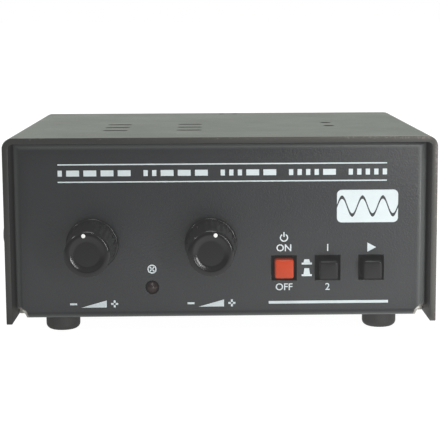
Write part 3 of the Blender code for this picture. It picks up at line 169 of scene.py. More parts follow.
floor_shader["Specular IOR Level"].default_value = 0
floor_shader["Emission Color"].default_value = (1, 1, 1, 1)
floor_tree.links.new(camera_level(floor_tree, FLOOR_GLOW, pool), floor_shader["Emission Strength"])
floor_mesh.materials.append(floor_look)

room = bpy.data.worlds.new("bright_room")
room.use_nodes = True
room_tree = room.node_tree
room_axes = place_axes(room_tree, "Generated")[1]
wall_light = remap(room_tree, room_axes[1], *BACK_SPAN, FRONT_LIGHT, BACK_LIGHT)
room_light = remap(room_tree, room_axes[2], 0.0, WALL_TOP, wall_light, CEILING_LIGHT)
tinted = camera_level(room_tree, 0.0, remap(room_tree, room_axes[1], *BACK_SPAN))
room_shader = room_tree.nodes["Background"].inputs
room_tree.links.new(mix_colours(room_tree, tinted, (1, 1, 1, 1), (*ROOM_TINT, 1)), room_shader["Color"])
room_tree.links.new(camera_level(room_tree, ROOM_WHITE, room_light), room_shader["Strength"])
bpy.context.scene.world = room

view = bpy.context.scene.view_settings
view.view_transform = "Standard"
view.use_curve_mapping = True
view.curve_mapping.black_level = (-HAZE, -HAZE, -HAZE)
view.curve_mapping.update()

top_lamp = bpy.data.lights.new("top_light", "SUN")
top_lamp.energy = TOP_STRENGTH
top_lamp.angle = TOP_SPREAD
top_light = new_object("top_light", top_lamp)
top_light.rotation_euler = TOP_TILT
for name, place, size, roll, power in LAMPS:
    source = bpy.data.lights.new(name, "AREA")
    source.shape = "RECTANGLE"
    source.size, source.size_y = size
    source.energy = power
    lamp = new_object(name, source)
    lamp.location = place
    aim = (LAMP_AIM - lamp.location).to_track_quat("-Z", "Y").to_matrix()
    lamp.rotation_euler = (aim @ Matrix.Rotation(math.radians(roll), 3, "Z")).to_euler()

# Chassis
# One sheet of steel folded into a front panel, floor and rear panel with flanges, and painted in a
# fine-textured charcoal with specks of wear along its edges. The bends are painted lighter, most on the
# right
# and least at the left, top and bottom: a painted highlight where light catches them. The lower corners are
# drilled through where the bends meet, which leaves bare metal.
SHEET = 0.0013
PANEL_BEND = 0.0020
BEND_STEPS = 10
TOP_BEND_SHARE = 0.5
FLANGE_DEPTH = 0.0090
FLANGE_LIFT = 0.0028
CORNER_HOLE_RADIUS = 0.0026
CORNER_HOLE_DEPTH = 0.0070
CUT_END = 0.0010
SLIT_GAP = 0.0002
SHEET_EDGE = 0.00012
BUTTON_HOLE = 0.0064
BUSHING_HOLE_RADIUS = 0.0037
LED_HOLE_RADIUS = 0.0017
COVER_HOLE_RADIUS = 0.0016
LED_FLANGE_RADIUS = 0.0019
SCREW_HOLE_DEPTH = 0.0055
JACK_HOLE_GAP = 0.0002
JACK_BUSHING_RADII = {"paddle_jack": 0.0030, "key_jack": 0.0030, "power_jack": 0.0040}
CHASSIS_PAINT = (37, 39, 41)
# Lighter colour for the specks of wear and for the painted highlight on the bends. The two shifts below
# pull  the painted highlight away from the left, bottom and top edges, so it is strongest on the right-hand
# bend.
CHASSIS_WORN_AND_HIGHLIGHT = (150, 155, 153)
WEAR_AND_HIGHLIGHT_SPARED_LOW = (0.0009, 0, 0.0013)
WEAR_AND_HIGHLIGHT_SPARED_HIGH = (0, 0, 0.0010)
BARE_METAL = (196, 194, 186)
CHIP_SPAN = (0.0002, 0.0007)
CHIP_RAGGED = 0.0009
CHIP_NOISE = (1400, 3.0)
BARE_METALLIC = 0.6
PATCH_NOISE = (4.0, 0.6)
GRAIN_NOISE = (3.0, 0.6)
SPOT_NOISE = (5.0, 0.7)
STRETCH_SCALE = 60.0
WORN_SPAN = (0.80, 0.92)
SMOOTH_ANGLE = math.radians(32)
SHEET_SMOOTH_ANGLE = math.radians(20)
SOFT_ANGLE = math.radians(40)
SOFT_STEPS = 2
EDGE_STEPS = 3
ROUND_SIDES = 48
HOLE_SIDES = 32
MERGE_GAP = 1e-7


def smoothed(mesh, angle=SMOOTH_ANGLE):
    """Shade a mesh smooth between its sharp edges."""
    mesh.shade_smooth()
    mesh.set_sharp_from_angle(angle=angle)
    return mesh


def from_bmesh(bm, name):
    """The smooth mesh of a bmesh, which is freed."""
    mesh = bpy.data.meshes.new(name)
    bm.to_mesh(mesh)
    bm.free()
    return smoothed(mesh)


def mesh_of(bm, name):
    """The mesh of a bmesh, with its doubles merged and its faces pointing out."""
    bmesh.ops.remove_doubles(bm, verts=bm.verts, dist=MERGE_GAP)
    bmesh.ops.recalc_face_normals(bm, faces=bm.faces)
    return from_bmesh(bm, name)


def applied(thing, *helpers):
    """The mesh of a thing with its modifiers applied; the thing and its helpers are removed."""
    graph = bpy.context.evaluated_depsgraph_get()
    mesh = bpy.data.meshes.new_from_object(thing.evaluated_get(graph), depsgraph=graph)
    for old in (*helpers, thing):
        bpy.data.objects.remove(old, do_unlink=True)
    return mesh


def add_box(bm, low, high):
    for vert in bmesh.ops.create_cube(bm, size=1)["verts"]:
        vert.co = [high[axis] if vert.co[axis] > 0 else low[axis] for axis in range(3)]


def round_edges(bm, edges, width, steps):
    bmesh.ops.bevel(bm, geom=edges, offset=width, segments=steps, profile=0.5, affect="EDGES")


def box_mesh(low, high, edge=0, steps=EDGE_STEPS):
    """A box between two corners, with rounded edges where edge is given."""
    bm = bmesh.new()
    add_box(bm, low, high)
    if edge:
        round_edges(bm, bm.edges[:], edge, steps)
    return mesh_of(bm, "box")


def turned_mesh(profile, sides=ROUND_SIDES, ring=False):
    """Turn points of (radius, height) about Z. A third item is a function of angle and height: it scales
    the radius. A ring's last point joins its first.
    """
    bm = bmesh.new()
    loops = []
    for radius, height, *outline in profile:
        if radius == 0:
            loops.append([bm.verts.new((0, 0, height))])
            continue
        loop = []
        for step in range(sides):
            angle = math.tau * step / sides
            reach = radius * (outline[0](angle, height) if outline else 1)
            loop.append(bm.verts.new((reach * math.cos(angle), reach * math.sin(angle), height)))
        loops.append(loop)
    pairs = list(zip(loops, loops[1:])) + ([(loops[-1], loops[0])] if ring else [])
    for lower, upper in pairs:
        if len(lower) == len(upper) == 1:
            continue
        for step in range(sides):
            after = (step + 1) % sides
            corners = [lower[step % len(lower)], lower[after % len(lower)]]
            corners += [upper[after % len(upper)], upper[step % len(upper)]]
            bm.faces.new(list(dict.fromkeys(corners)))
    return mesh_of(bm, "turned")


def arc(centre, radius, start, end, steps=BEND_STEPS):
    """Points of an arc, angles in degrees."""
    points = []
    for step in range(steps + 1):
        angle = math.radians(start + (end - start) * step / steps)
        points.append((centre[0] + radius * math.cos(angle), centre[1] + radius * math.sin(angle)))
    return points


def extruded_mesh(outline, low, high, to_space):
    """Extrude a flat outline from low to high. to_space turns (u, v, depth) into (x, y, z)."""
    bm = bmesh.new()
    near = [bm.verts.new(to_space(u, v, low)) for u, v in outline]
    far = [bm.verts.new(to_space(u, v, high)) for u, v in outline]
    bm.faces.new(near)
    bm.faces.new(far[::-1])
    for step in range(len(outline)):
        after = (step + 1) % len(outline)
        bm.faces.new([near[step], near[after], far[after], far[step]])
    return mesh_of(bm, "extruded")


FACE_FRONT = Matrix.Rotation(math.pi / 2, 4, "X")
FACE_REAR = Matrix.Rotation(-math.pi / 2, 4, "X")
FACE_RIGHT = Matrix.Rotation(math.pi / 2, 4, "Y")
FACE_LEFT = Matrix.Rotation(-math.pi / 2, 4, "Y")


def put(mesh, at=(0, 0, 0), turn=Matrix()):
    """Give a mesh its place, so that its object can stay at the origin."""
    mesh.transform(Matrix.Translation(at) @ turn)
    return mesh


def joined(meshes, name):
    """Several meshes as one."""
    bm = bmesh.new()
    for mesh in meshes:
        bm.from_mesh(mesh)
    return from_bmesh(bm, name)


def shaped(mesh, cutters=(), edge=0, late_cutters=(), smooth=SMOOTH_ANGLE):
    """A mesh with others cut from it, its edges softened, and then the late cuts made. Each cut brings its
    finish.
    """
    thing = new_object("shaping", mesh)
    helpers = []

    def cut(others):
        for other in others:
            helpers.append(new_object("helper", other))
            step = thing.modifiers.new("shape", "BOOLEAN")
            step.operation = "DIFFERENCE"
            step.object = helpers[-1]
            step.material_mode = "TRANSFER"

    cut(cutters)
    if edge:
        step = thing.modifiers.new("soft_edges", "BEVEL")
        step.width = edge
        step.segments = SOFT_STEPS
        step.limit_method = "ANGLE"
        step.angle_limit = SOFT_ANGLE
        step.use_clamp_overlap = False
    cut(late_cutters)
    return smoothed(applied(thing, *helpers), smooth)


def shader_group(name, inputs, outputs):
    """An empty node group. An input has its default, which tells its kind, and an output has its kind."""
    group = bpy.data.node_groups.new(name, "ShaderNodeTree")
    for label, value in inputs.items():
        kind = "Float" if isinstance(value, float) else {3: "Vector", 4: "Color"}[len(value)]
        socket = group.interface.new_socket(name=label, in_out="INPUT", socket_type="NodeSocket" + kind)
        socket.default_value = value
    for label, kind in outputs.items():
        group.interface.new_socket(name=label, in_out="OUTPUT", socket_type="NodeSocket" + kind)
    return group, group.nodes.new("NodeGroupInput").outputs, group.nodes.new("NodeGroupOutput").inputs


def noise(tree, place, scale, detail=2.0, roughness=0.5):
    inputs = {"Vector": place, "Scale": scale, "Detail": detail, "Roughness": roughness}
    return add_node(tree, "ShaderNodeTexNoise", inputs).outputs["Fac"]


def vector_node(tree, operation, *values):
    return add_node(tree, "ShaderNodeVectorMath", dict(enumerate(values)), operation=operation).outputs[0]


def build_grain_group():
    """The texture of a surface: colour that varies softly, a gloss that varies, and a fine relief."""
    inputs = {
        "Place": (0, 0, 0), "Colour": (0.5, 0.5, 0.5, 1), "Colour Vary": 0.1, "Patch Scale": 120.0,
        "Grain Scale": 2500.0, "Gloss": 0.5, "Gloss Vary": 0.1,
    }
    outputs = {"Colour": "Color", "Roughness": "Float", "Relief": "Float"}
    group, given, out = shader_group("surface_grain", inputs, outputs)
    patches = noise(group, given["Place"], given["Patch Scale"], *PATCH_NOISE)
    grain = noise(group, given["Place"], given["Grain Scale"], *GRAIN_NOISE)
    halves = [math_node(group, "MULTIPLY", part, 0.5) for part in (patches, grain)]
    centred = math_node(group, "MULTIPLY_ADD", math_node(group, "ADD", *halves), 2.0, -1.0)
    value = math_node(group, "MULTIPLY_ADD", centred, given["Colour Vary"], 1.0)
    varied = add_node(group, "ShaderNodeHueSaturation", {"Color": given["Colour"], "Value": value})
    gloss = math_node(group, "MULTIPLY_ADD", centred, given["Gloss Vary"], given["Gloss"])
    for label, made in (("Colour", varied.outputs["Color"]), ("Roughness", gloss), ("Relief", grain)):
        group.links.new(made, out[label])
    return group


def build_wear_and_highlight_group():
    """Where paint is rubbed through near the edges of the box between two corners, and a painted highlight.
    """
    inputs = {
        "Place": (0, 0, 0), "Low": (-1, -1, -1), "High": (1, 1, 1), "Reach": 0.001, "Amount": 0.5,
        "Painted Highlight": 0.0, "Scale": 900.0,
    }
    group, given, out = shader_group("edge_wear_and_highlight", inputs, {"Mask": "Float"})
    from_low = vector_node(group, "SUBTRACT", given["Place"], given["Low"])
    from_high = vector_node(group, "SUBTRACT", given["High"], given["Place"])
    nearest = vector_node(group, "MINIMUM", from_low, from_high)
    size = add_node(group, "ShaderNodeSeparateXYZ", {0: nearest}).outputs
    least = math_node(group, "MINIMUM", size[0], size[1])
    most = math_node(group, "MAXIMUM", size[0], size[1])
    to_edge = math_node(group, "MAXIMUM", least, math_node(group, "MINIMUM", most, size[2]))
    share = math_node(group, "DIVIDE", to_edge, given["Reach"])
    near = math_node(group, "SUBTRACT", 1.0, remap(group, share, 0.0, 1.0))
    spots = noise(group, given["Place"], given["Scale"], *SPOT_NOISE)
    stretches = noise(group, given["Place"], STRETCH_SCALE)
    amount = math_node(group, "MULTIPLY", given["Amount"], stretches)
    level = math_node(group, "ADD", spots, math_node(group, "MULTIPLY", near, amount))
    # The thin share is a painted highlight: the paint lightened smoothly close to the edges.
    thin = math_node(group, "MULTIPLY", near, given["Painted Highlight"])
    mask = math_node(group, "MAXIMUM", remap(group, level, *WORN_SPAN), thin)
    group.links.new(mask, out["Mask"])
    return group


grain_group = build_grain_group()
wear_and_highlight_group = build_wear_and_highlight_group()


def linear(colour):
    """A screen colour of 0 to 255 as scene light."""
    return [(c / 255 / 12.92 if c < 11 else ((c / 255 + 0.055) / 1.055) ** 2.4) for c in colour] + [1]


def place_group(tree, group, inputs):
    """Place a node group with its own values, and return its outputs."""
    return add_node(tree, "ShaderNodeGroup", inputs, node_tree=group).outputs


def finish(
    name, colour, gloss, metallic=0.0, coat=0.0, shine=0.5, vary=0.1, gloss_vary=0.08, patches=120.0,
    grain=2500.0, relief=0.0, wear_and_highlight_colour=None, edges=None, reach=0.001, wear=0.5, thin=0.0, wear_scale=900.0,
    across=None,
):
    """A procedural finish. relief is the depth of its grain, and worn the colour that shows at the rubbed
    edges and in the painted highlight that thin lays along them. Where across gives two places along x,
    wear and thin are pairs, one value for each place.
    """
    look = bpy.data.materials.new(name)
    look.use_nodes = True
    tree = look.node_tree
    shader = tree.nodes["Principled BSDF"]
    place = add_node(tree, "ShaderNodeTexCoord").outputs["Object"]
    values = {
        "Place": place, "Colour": linear(colour), "Colour Vary": vary, "Patch Scale": patches,
        "Grain Scale": grain, "Gloss": gloss, "Gloss Vary": gloss_vary,
    }
    grain_out = place_group(tree, grain_group, values)
    colour_out = grain_out["Colour"]
    shader.inputs["Metallic"].default_value = metallic
    shader.inputs["Coat Weight"].default_value = coat
    shader.inputs["Specular IOR Level"].default_value = shine
    if wear_and_highlight_colour:
        if across:
            side = add_node(tree, "ShaderNodeSeparateXYZ", {0: place}).outputs[0]
            wear, thin = (remap(tree, side, *across, *ends, kind="LINEAR") for ends in (wear, thin))
        values = {"Place": place, "Low": edges[0], "High": edges[1], "Reach": reach}
        values.update({"Amount": wear, "Painted Highlight": thin, "Scale": wear_scale})
        mask = place_group(tree, wear_and_highlight_group, values)["Mask"]
        colour_out = mix_colours(tree, mask, colour_out, linear(wear_and_highlight_colour))
    tree.links.new(colour_out, shader.inputs["Base Color"])
    tree.links.new(grain_out["Roughness"], shader.inputs["Roughness"])
    if relief:
        bump = add_node(tree, "ShaderNodeBump", {"Height": grain_out["Relief"], "Distance": relief})
        tree.links.new(bump.outputs["Normal"], shader.inputs["Normal"])
    return look


def make_piece(name, mesh, look, body, slot, *nodes):
    """A finished piece with the look given: it rides on a body and stands for the nodes named. slot is not
    used.
    """
    piece = new_object(name, mesh)
    mesh.name = name
    if look:
        mesh.materials.clear()
        mesh.materials.append(look)
    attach(piece, body)
    if nodes:
        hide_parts(*nodes)
    return piece


def pan(half_width, front, rear, bottom, top, bend):
    """A box whose front and rear faces have rounded edges, like sheet bent round a former."""
    bm = bmesh.new()
    add_box(bm, (-half_width, front, bottom), (half_width, rear, top))
    ends = [edge for edge in bm.edges if abs(edge.verts[0].co.y - edge.verts[1].co.y) < bend]
    round_edges(bm, ends, bend, BEND_STEPS)
    return mesh_of(bm, "pan")


def round_cut(radius, low, high, at, turn=Matrix(), sides=ROUND_SIDES):
    """A drill's shape, from low to high along its own Z."""
    return put(turned_mesh([(0, low), (radius, low), (radius, high), (0, high)], sides), at, turn)


case_low, case_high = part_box("chassis")
PANEL_Y = case_low.y
REAR_Y = case_high.y
PANEL_HALF = case_high.x
panel_inner = PANEL_Y + SHEET
rear_inner = REAR_Y - SHEET
case_floor = case_low.z + SHEET


def centre_of(node):
    """The middle of a node's box."""
    low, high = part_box(node)
    return (low + high) / 2


def at_plane(node, y):
    """The middle of a node's box, moved to a plane across y."""
    middle = centre_of(node)
    return Vector((middle.x, y, middle.z))


button_nodes = ("power_button", "mode_button", "message_button")
screw_nodes = ("screw_front_left", "screw_front_right", "screw_rear_left", "screw_rear_right")
screw_seats = []
for node in screw_nodes:
    middle = centre_of(node)
    side = math.copysign(1, middle.x)
    turn = FACE_RIGHT if side > 0 else FACE_LEFT
    screw_seats.append(((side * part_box("cover")[1].x, middle.y, middle.z), turn))

reach = PANEL_HALF + CUT_END
open_low = (-reach, PANEL_Y + FLANGE_DEPTH, case_floor)
open_high = (reach, REAR_Y - FLANGE_DEPTH, case_high.z + CUT_END)
cuts = [
    pan(PANEL_HALF - SHEET, panel_inner, rear_inner, case_floor, case_high.z - SHEET, PANEL_BEND - SHEET),
    box_mesh(open_low, open_high),
]
corner = PANEL_BEND + SLIT_GAP
slits = (
    (PANEL_HALF - SHEET - (PANEL_BEND - SHEET) - SLIT_GAP, case_floor, case_low.z + FLANGE_LIFT),
    (PANEL_HALF - corner, case_high.z - corner, case_high.z + CUT_END),
)
slit_cuts = []
corner_holes = []
for side in (-1, 1):
    for inward, bottom, top in slits:
        near, far = sorted((side * inward, side * reach))
        slit_cuts.append(box_mesh((near, panel_inner, bottom), (far, rear_inner, top)))
    for end, turn in ((PANEL_Y, FACE_FRONT), (REAR_Y, FACE_REAR)):
        place = (side * PANEL_HALF, end, case_low.z)
        corner_holes.append(round_cut(CORNER_HOLE_RADIUS, -CORNER_HOLE_DEPTH, CUT_END, place, turn))

through = SHEET + CUT_END
for node in ("speed_nut", "volume_nut"):
    cuts.append(round_cut(BUSHING_HOLE_RADIUS, -through, CUT_END, at_plane(node, PANEL_Y), FACE_FRONT))
led_low, led_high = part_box("pilot_light")
led_place = Vector((centre_of("pilot_light").x, PANEL_Y, led_high.z - LED_FLANGE_RADIUS))
cuts.append(round_cut(LED_HOLE_RADIUS, -through, CUT_END, led_place, FACE_FRONT))
for node in button_nodes:
    middle = centre_of(node)
    low = Vector((middle.x - BUTTON_HOLE / 2, PANEL_Y - CUT_END, middle.z - BUTTON_HOLE / 2))
    high = Vector((middle.x + BUTTON_HOLE / 2, PANEL_Y + through, middle.z + BUTTON_HOLE / 2))
    cuts.append(box_mesh(low, high))
for node, radius in JACK_BUSHING_RADII.items():
    place = at_plane(node + "_nut", REAR_Y)
    cuts.append(round_cut(radius + JACK_HOLE_GAP, -through, CUT_END, place, FACE_REAR))
bare_cuts = corner_holes + [
    round_cut(COVER_HOLE_RADIUS, -SCREW_HOLE_DEPTH, CUT_END, place, turn, HOLE_SIDES)
    for place, turn in screw_seats
]


def chip_corners(look, half, height, hole):
    """Bare metal where the paint has chipped round the drilled corners."""
    tree = look.node_tree
    shader = tree.nodes["Principled BSDF"]
    place, axes = place_axes(tree)
    across = math_node(tree, "SUBTRACT", half, math_node(tree, "ABSOLUTE", axes[0]))
    up = math_node(tree, "SUBTRACT", axes[2], height)
    squares = [math_node(tree, "MULTIPLY", part, part) for part in (across, up)]
    away = math_node(tree, "SQRT", math_node(tree, "ADD", *squares))
    ragged = math_node(tree, "MULTIPLY_ADD", noise(tree, place, *CHIP_NOISE), -CHIP_RAGGED, away)
    painted = remap(tree, ragged, *(hole + reach - CHIP_RAGGED / 2 for reach in CHIP_SPAN))
    under = shader.inputs["Base Color"].links[0].from_socket
    tree.links.new(mix_colours(tree, painted, linear(BARE_METAL), under), shader.inputs["Base Color"])
    metal = math_node(tree, "MULTIPLY_ADD", painted, -BARE_METALLIC, BARE_METALLIC)
    tree.links.new(metal, shader.inputs["Metallic"])


# Specks of wear along the edges, and a painted highlight that lightens the bends, strongest on the right.
wear_and_highlight_box = (case_low - Vector(WEAR_AND_HIGHLIGHT_SPARED_LOW), case_high + Vector(WEAR_AND_HIGHLIGHT_SPARED_HIGH))
chassis_look = finish(
    "charcoal_paint", CHASSIS_PAINT, 0.31, shine=0.40, vary=0.20, gloss_vary=0.10, patches=90, grain=2200,
    relief=0.00005, wear_and_highlight_colour=CHASSIS_WORN_AND_HIGHLIGHT, edges=wear_and_highlight_box, reach=0.0028, wear=0.70, thin=0.95, wear_scale=1600,
)
chip_corners(chassis_look, PANEL_HALF, case_low.z, CORNER_HOLE_RADIUS)
bare_look = finish(
    "bare_steel", BARE_METAL, 0.42, metallic=BARE_METALLIC, vary=0.15, patches=400, grain=3000
)
for mesh in slit_cuts:
    mesh.materials.append(chassis_look)
for mesh in bare_cuts:
    mesh.materials.append(bare_look)
chassis_shape = pan(PANEL_HALF, PANEL_Y, REAR_Y, case_low.z, case_high.z, PANEL_BEND)
for vertex in chassis_shape.vertices:
    below = case_high.z - vertex.co.z
    if below < PANEL_BEND + SLIT_GAP:
        vertex.co.z = case_high.z - TOP_BEND_SHARE * below
chassis_shape.materials.append(chassis_look)
chassis_mesh = shaped(chassis_shape, cuts, SHEET_EDGE, slit_cuts + bare_cuts, SHEET_SMOOTH_ANGLE)
make_piece("folded_chassis", chassis_mesh, None, "case", "case_paint", "chassis")

# Cover
# One sheet of steel folded into an inverted U and painted dark, with slots for the loudspeaker and holes
# for a trimming tool. It slides over the chassis flanges, and its cut front edge has lost some paint. Its
# edges are painted lighter and more speckled towards the right: a painted highlight where light falls from
# the right.
COVER_SHEET = 0.0015
COVER_BEND = 0.0026
COVER_EDGE = 0.00015
SLOT_LENGTH = 0.0066
SLOT_WIDTH = 0.0022
SLOT_PITCH = 0.0100
SLOT_COLUMN_OFFSET = 0.0097
ACCESS_HOLE_RADIUS = 0.0015
REAR_HOLE_RADIUS = 0.0008
REAR_HOLE_INSET = 0.0038
REAR_HOLE_X = 0.0029
REAR_HOLE_HALF_PITCH = 0.0020
COVER_SCREW_HOLE = 0.0017
SLOT_STEPS = 12
COVER_PAINT = (34, 35, 32)
# Lighter colour for the specks of wear and the painted highlight along the edges. From the left end to the
# right end both grow: painted light falling from the right.
COVER_WORN_AND_HIGHLIGHT = (103, 99, 92)
COVER_WEAR_AND_HIGHLIGHT = (0.34, 0.64)
COVER_PAINTED_HIGHLIGHT = (-0.14, 0.50)


def build_repeat_tree():
    """Put a shape at each point: turned by the point's "turn", stretched by its "stretch"."""
    tree = bpy.data.node_groups.new("repeat_shape", "GeometryNodeTree")
    for name, in_out, kind in (
        ("Points", "INPUT", "Geometry"),
        ("Shape", "INPUT", "Object"),
        ("Finish", "INPUT", "Material"),
        ("Size", "INPUT", "Float"),
        ("Pieces", "OUTPUT", "Geometry"),
    ):
        tree.interface.new_socket(name=name, in_out=in_out, socket_type="NodeSocket" + kind)
    given = tree.nodes.new("NodeGroupInput").outputs
    out = tree.nodes.new("NodeGroupOutput")
    shape = add_node(tree, "GeometryNodeObjectInfo", {"Object": given["Shape"]}, transform_space="ORIGINAL")
    kind = "GeometryNodeInputNamedAttribute"
    turn, stretch = (
        add_node(tree, kind, {"Name": label}, data_type="FLOAT_VECTOR").outputs["Attribute"]
        for label in ("turn", "stretch")
    )
    rotation = add_node(tree, "FunctionNodeEulerToRotation", {"Euler": turn})
    inputs = {0: stretch, "Scale": given["Size"]}
    size = add_node(tree, "ShaderNodeVectorMath", inputs, operation="SCALE")
    inputs = {
        "Points": given["Points"], "Instance": shape.outputs["Geometry"],
        "Rotation": rotation.outputs["Rotation"], "Scale": size.outputs["Vector"],
    }
    placed = add_node(tree, "GeometryNodeInstanceOnPoints", inputs)
    solid = add_node(tree, "GeometryNodeRealizeInstances", {"Geometry": placed.outputs["Instances"]})
    inputs = {"Geometry": solid.outputs["Geometry"], "Material": given["Finish"]}
    finished = add_node(tree, "GeometryNodeSetMaterial", inputs)
    tree.links.new(finished.outputs["Geometry"], out.inputs["Pieces"])
    return tree


repeat_tree = build_repeat_tree()


def repeated(shape_mesh, places, look=None, size=1.0):
    """One mesh with the shape at every place: (place, turn as a matrix, stretch)."""
    points = bpy.data.meshes.new("points")
    points.from_pydata([tuple(place) for place, turn, stretch in places], [], [])
    turns = [turn.to_euler() for place, turn, stretch in places]
    stretches = [stretch for place, turn, stretch in places]
    for label, values in (("turn", turns), ("stretch", stretches)):
        attribute = points.attributes.new(label, "FLOAT_VECTOR", "POINT")
        attribute.data.foreach_set("vector", [number for value in values for number in value])
    shape = new_object("shape", shape_mesh)
    holder = new_object("holder", points)
    step = holder.modifiers.new("repeat", "NODES")
    step.node_group = repeat_tree
    given = {"Shape": shape, "Finish": look, "Size": size}
    for item in repeat_tree.interface.items_tree:
        if item.in_out == "INPUT" and item.name in given:
            step[item.identifier] = given[item.name]
    return smoothed(applied(holder, shape))


FLAT = Matrix()
EVEN = (1, 1, 1)
cover_low, cover_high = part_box("cover")
inner = cover_high.x - COVER_SHEET
inner_bend = COVER_BEND - COVER_SHEET
bend_x = cover_high.x - COVER_BEND
bend_z = cover_high.z - COVER_BEND
outline = [(-cover_high.x, cover_low.z)]
outline += arc((-bend_x, bend_z), COVER_BEND, 180, 90)
outline += arc((bend_x, bend_z), COVER_BEND, 90, 0)
outline += [(cover_high.x, cover_low.z), (inner, cover_low.z)]
outline += arc((bend_x, bend_z), inner_bend, 0, 90)
outline += arc((-bend_x, bend_z), inner_bend, 90, 180)
outline += [(-inner, cover_low.z)]
folded = extruded_mesh(outline, cover_low.y, cover_high.y, lambda u, v, depth: (u, depth, v))

radius = SLOT_WIDTH / 2
straight = SLOT_LENGTH / 2 - radius
slot_outline = arc((straight, 0), radius, -90, 90, SLOT_STEPS)
slot_outline += arc((-straight, 0), radius, 90, 270, SLOT_STEPS)
slot_cut = extruded_mesh(slot_outline, -2 * COVER_SHEET, CUT_END, lambda u, v, depth: (u, v, depth))
slot_middle = centre_of("speaker_frame")
slot_places = []
for column in (-1, 1):
    for row in (-1, 0, 1):
        x = slot_middle.x + column * SLOT_COLUMN_OFFSET
        slot_places.append(((x, slot_middle.y + row * SLOT_PITCH, cover_high.z), FLAT, EVEN))
cover_cuts = [repeated(slot_cut, slot_places)]
hole_cut = round_cut(1, -2 * through, CUT_END, (0, 0, 0), sides=HOLE_SIDES)
trimmers = ("weight_trimmer_rotor", "tone_trimmer_rotor")
top_holes = [(centre_of(node).x, centre_of(node).y, ACCESS_HOLE_RADIUS) for node in trimmers]
for side in (-1, 1):
    x = REAR_HOLE_X + side * REAR_HOLE_HALF_PITCH
    top_holes.append((x, cover_high.y - REAR_HOLE_INSET, REAR_HOLE_RADIUS))
hole_places = [((x, y, cover_high.z), FLAT, (radius, radius, 1)) for x, y, radius in top_holes]
for place, turn in screw_seats:
    hole_places.append((place, turn, (COVER_SCREW_HOLE, COVER_SCREW_HOLE, 1)))
cover_cuts.append(repeated(hole_cut, hole_places))
# Specks of wear and a painted highlight along the edges, both growing towards the right as painted light.
cover_look = finish(
    "dark_paint", COVER_PAINT, 0.36, shine=0.42, vary=0.20, gloss_vary=0.12, patches=70, grain=2200,
    relief=0.00004, wear_and_highlight_colour=COVER_WORN_AND_HIGHLIGHT, edges=(cover_low, cover_high), reach=0.0018, wear=COVER_WEAR_AND_HIGHLIGHT,
    thin=COVER_PAINTED_HIGHLIGHT, across=(cover_low.x, cover_high.x), wear_scale=1500,
)
cover_mesh = shaped(folded, cover_cuts, COVER_EDGE, smooth=SHEET_SMOOTH_ANGLE)
make_piece("folded_cover", cover_mesh, cover_look, "case", "cover_paint", "cover")

# Front print
# Thin off-white ink, screen printed on the front panel: an index of the digits 1 to 5 in Morse between two
# rules, a wave plate, and signs for the knobs, the pilot light and the buttons.
INK_PROUD = 0.00004
INK_SINK = 0.00001
INK = (214, 224, 226)
INDEX_LEFT = -0.0409
INDEX_RIGHT = 0.0419
INDEX_Z = case_low.z + 0.0371
MARK_HEIGHT = 0.0015
RULE_HEIGHT = 0.0003
RULE_ZS = (case_low.z + 0.0349, case_low.z + 0.0393)
MORSE_DIGITS = [count * "." + (5 - count) * "-" for count in range(1, 6)]
MARK_UNITS = {".": 1, "-": 3}
DIGIT_GAP = 3
PLATE_CENTRE = (0.03705, case_low.z + 0.02835)
PLATE_SIZE = (0.0155, 0.0083)
PLATE_CORNER = 0.0012
WAVE_LINE = 0.0009
WAVE_RISE = 0.0023
WAVES = 3
WAVE_STEPS = 72
SIGN_Z = case_low.z + 0.0037
SIGN_OFFSET = 0.0052
SIGN_LENGTH = 0.0018
SIGN_LINE = 0.0005
WEDGE = ((-0.0032, -0.0009), (0.0032, -0.0009), (0.0032, 0.0009))
THIN_LINE = 0.0003
LAMP_SIGN_RISE = 0.0047
LAMP_SIGN_RADIUS = 0.0010
LAMP_CROSS = 0.0007
BELOW_Z = case_low.z + 0.00775
ABOVE_Z = case_low.z + 0.0178
WORD_HEIGHT = 0.0018
WORD_BOLD = 0.01
LETTER_STEPS = 4
POWER_Z = case_low.z + 0.0204
POWER_RADIUS = 0.0009
POWER_ARC = (120, 420)
POWER_STROKE = (0.0002, 0.0014)
TRIANGLE = ((-0.0010, -0.0012), (0.0012, 0), (-0.0010, 0.0012))
PICTOGRAM_X = 0.0217
PICTOGRAM_BAR = 0.0026
PICTOGRAM_GAP = 0.0002
PICTOGRAM_TOP = 0.0006
PICTOGRAMS = ((case_low.z + 0.0137, 0.0009, 0.0011), (case_low.z + 0.0107, 0.00085, 0.0018))
PLAIN_RULE_PLACE = (0.02725, case_low.z + 0.00375)
PLAIN_RULE_SIZE = (0.0305, 0.0007)


def ink_solid(outline, x=0, z=0):
    """A flat outline round a point of the panel, as a thin solid."""
    front, back = PANEL_Y - INK_PROUD, PANEL_Y + INK_SINK
    return extruded_mesh(outline, front, back, lambda u, v, depth: (x + u, depth, z + v))


def bar(x, z, width, height):
    """A rectangle round a point."""
    u, v = width / 2, height / 2
    return ink_solid([(-u, -v), (u, -v), (u, v), (-u, v)], x, z)


def ink_ring(x, z, radius, start=0, end=360, steps=ROUND_SIDES):
    """A thin ring, or a part of one. A whole ring is made of two halves."""
    outer = arc((0, 0), radius + THIN_LINE / 2, start, end, steps)
    inside = arc((0, 0), radius - THIN_LINE / 2, start, end, steps)
    if end - start < 360:
        return ink_solid(outer + inside[::-1], x, z)
    half = steps // 2
    upper = ink_solid(outer[:half + 1] + inside[half::-1], x, z)
    return joined([upper, ink_solid(outer[half:] + inside[:half - 1:-1], x, z)], "ring")


def ink_line(start, end):
    """A thin straight stroke between two points."""
    start, end = Vector(start), Vector(end)
    along = (end - start).normalized()
    across = Vector((-along.y, along.x)) * THIN_LINE / 2
    return ink_solid([tuple(p) for p in (start - across, end - across, end + across, start + across)])


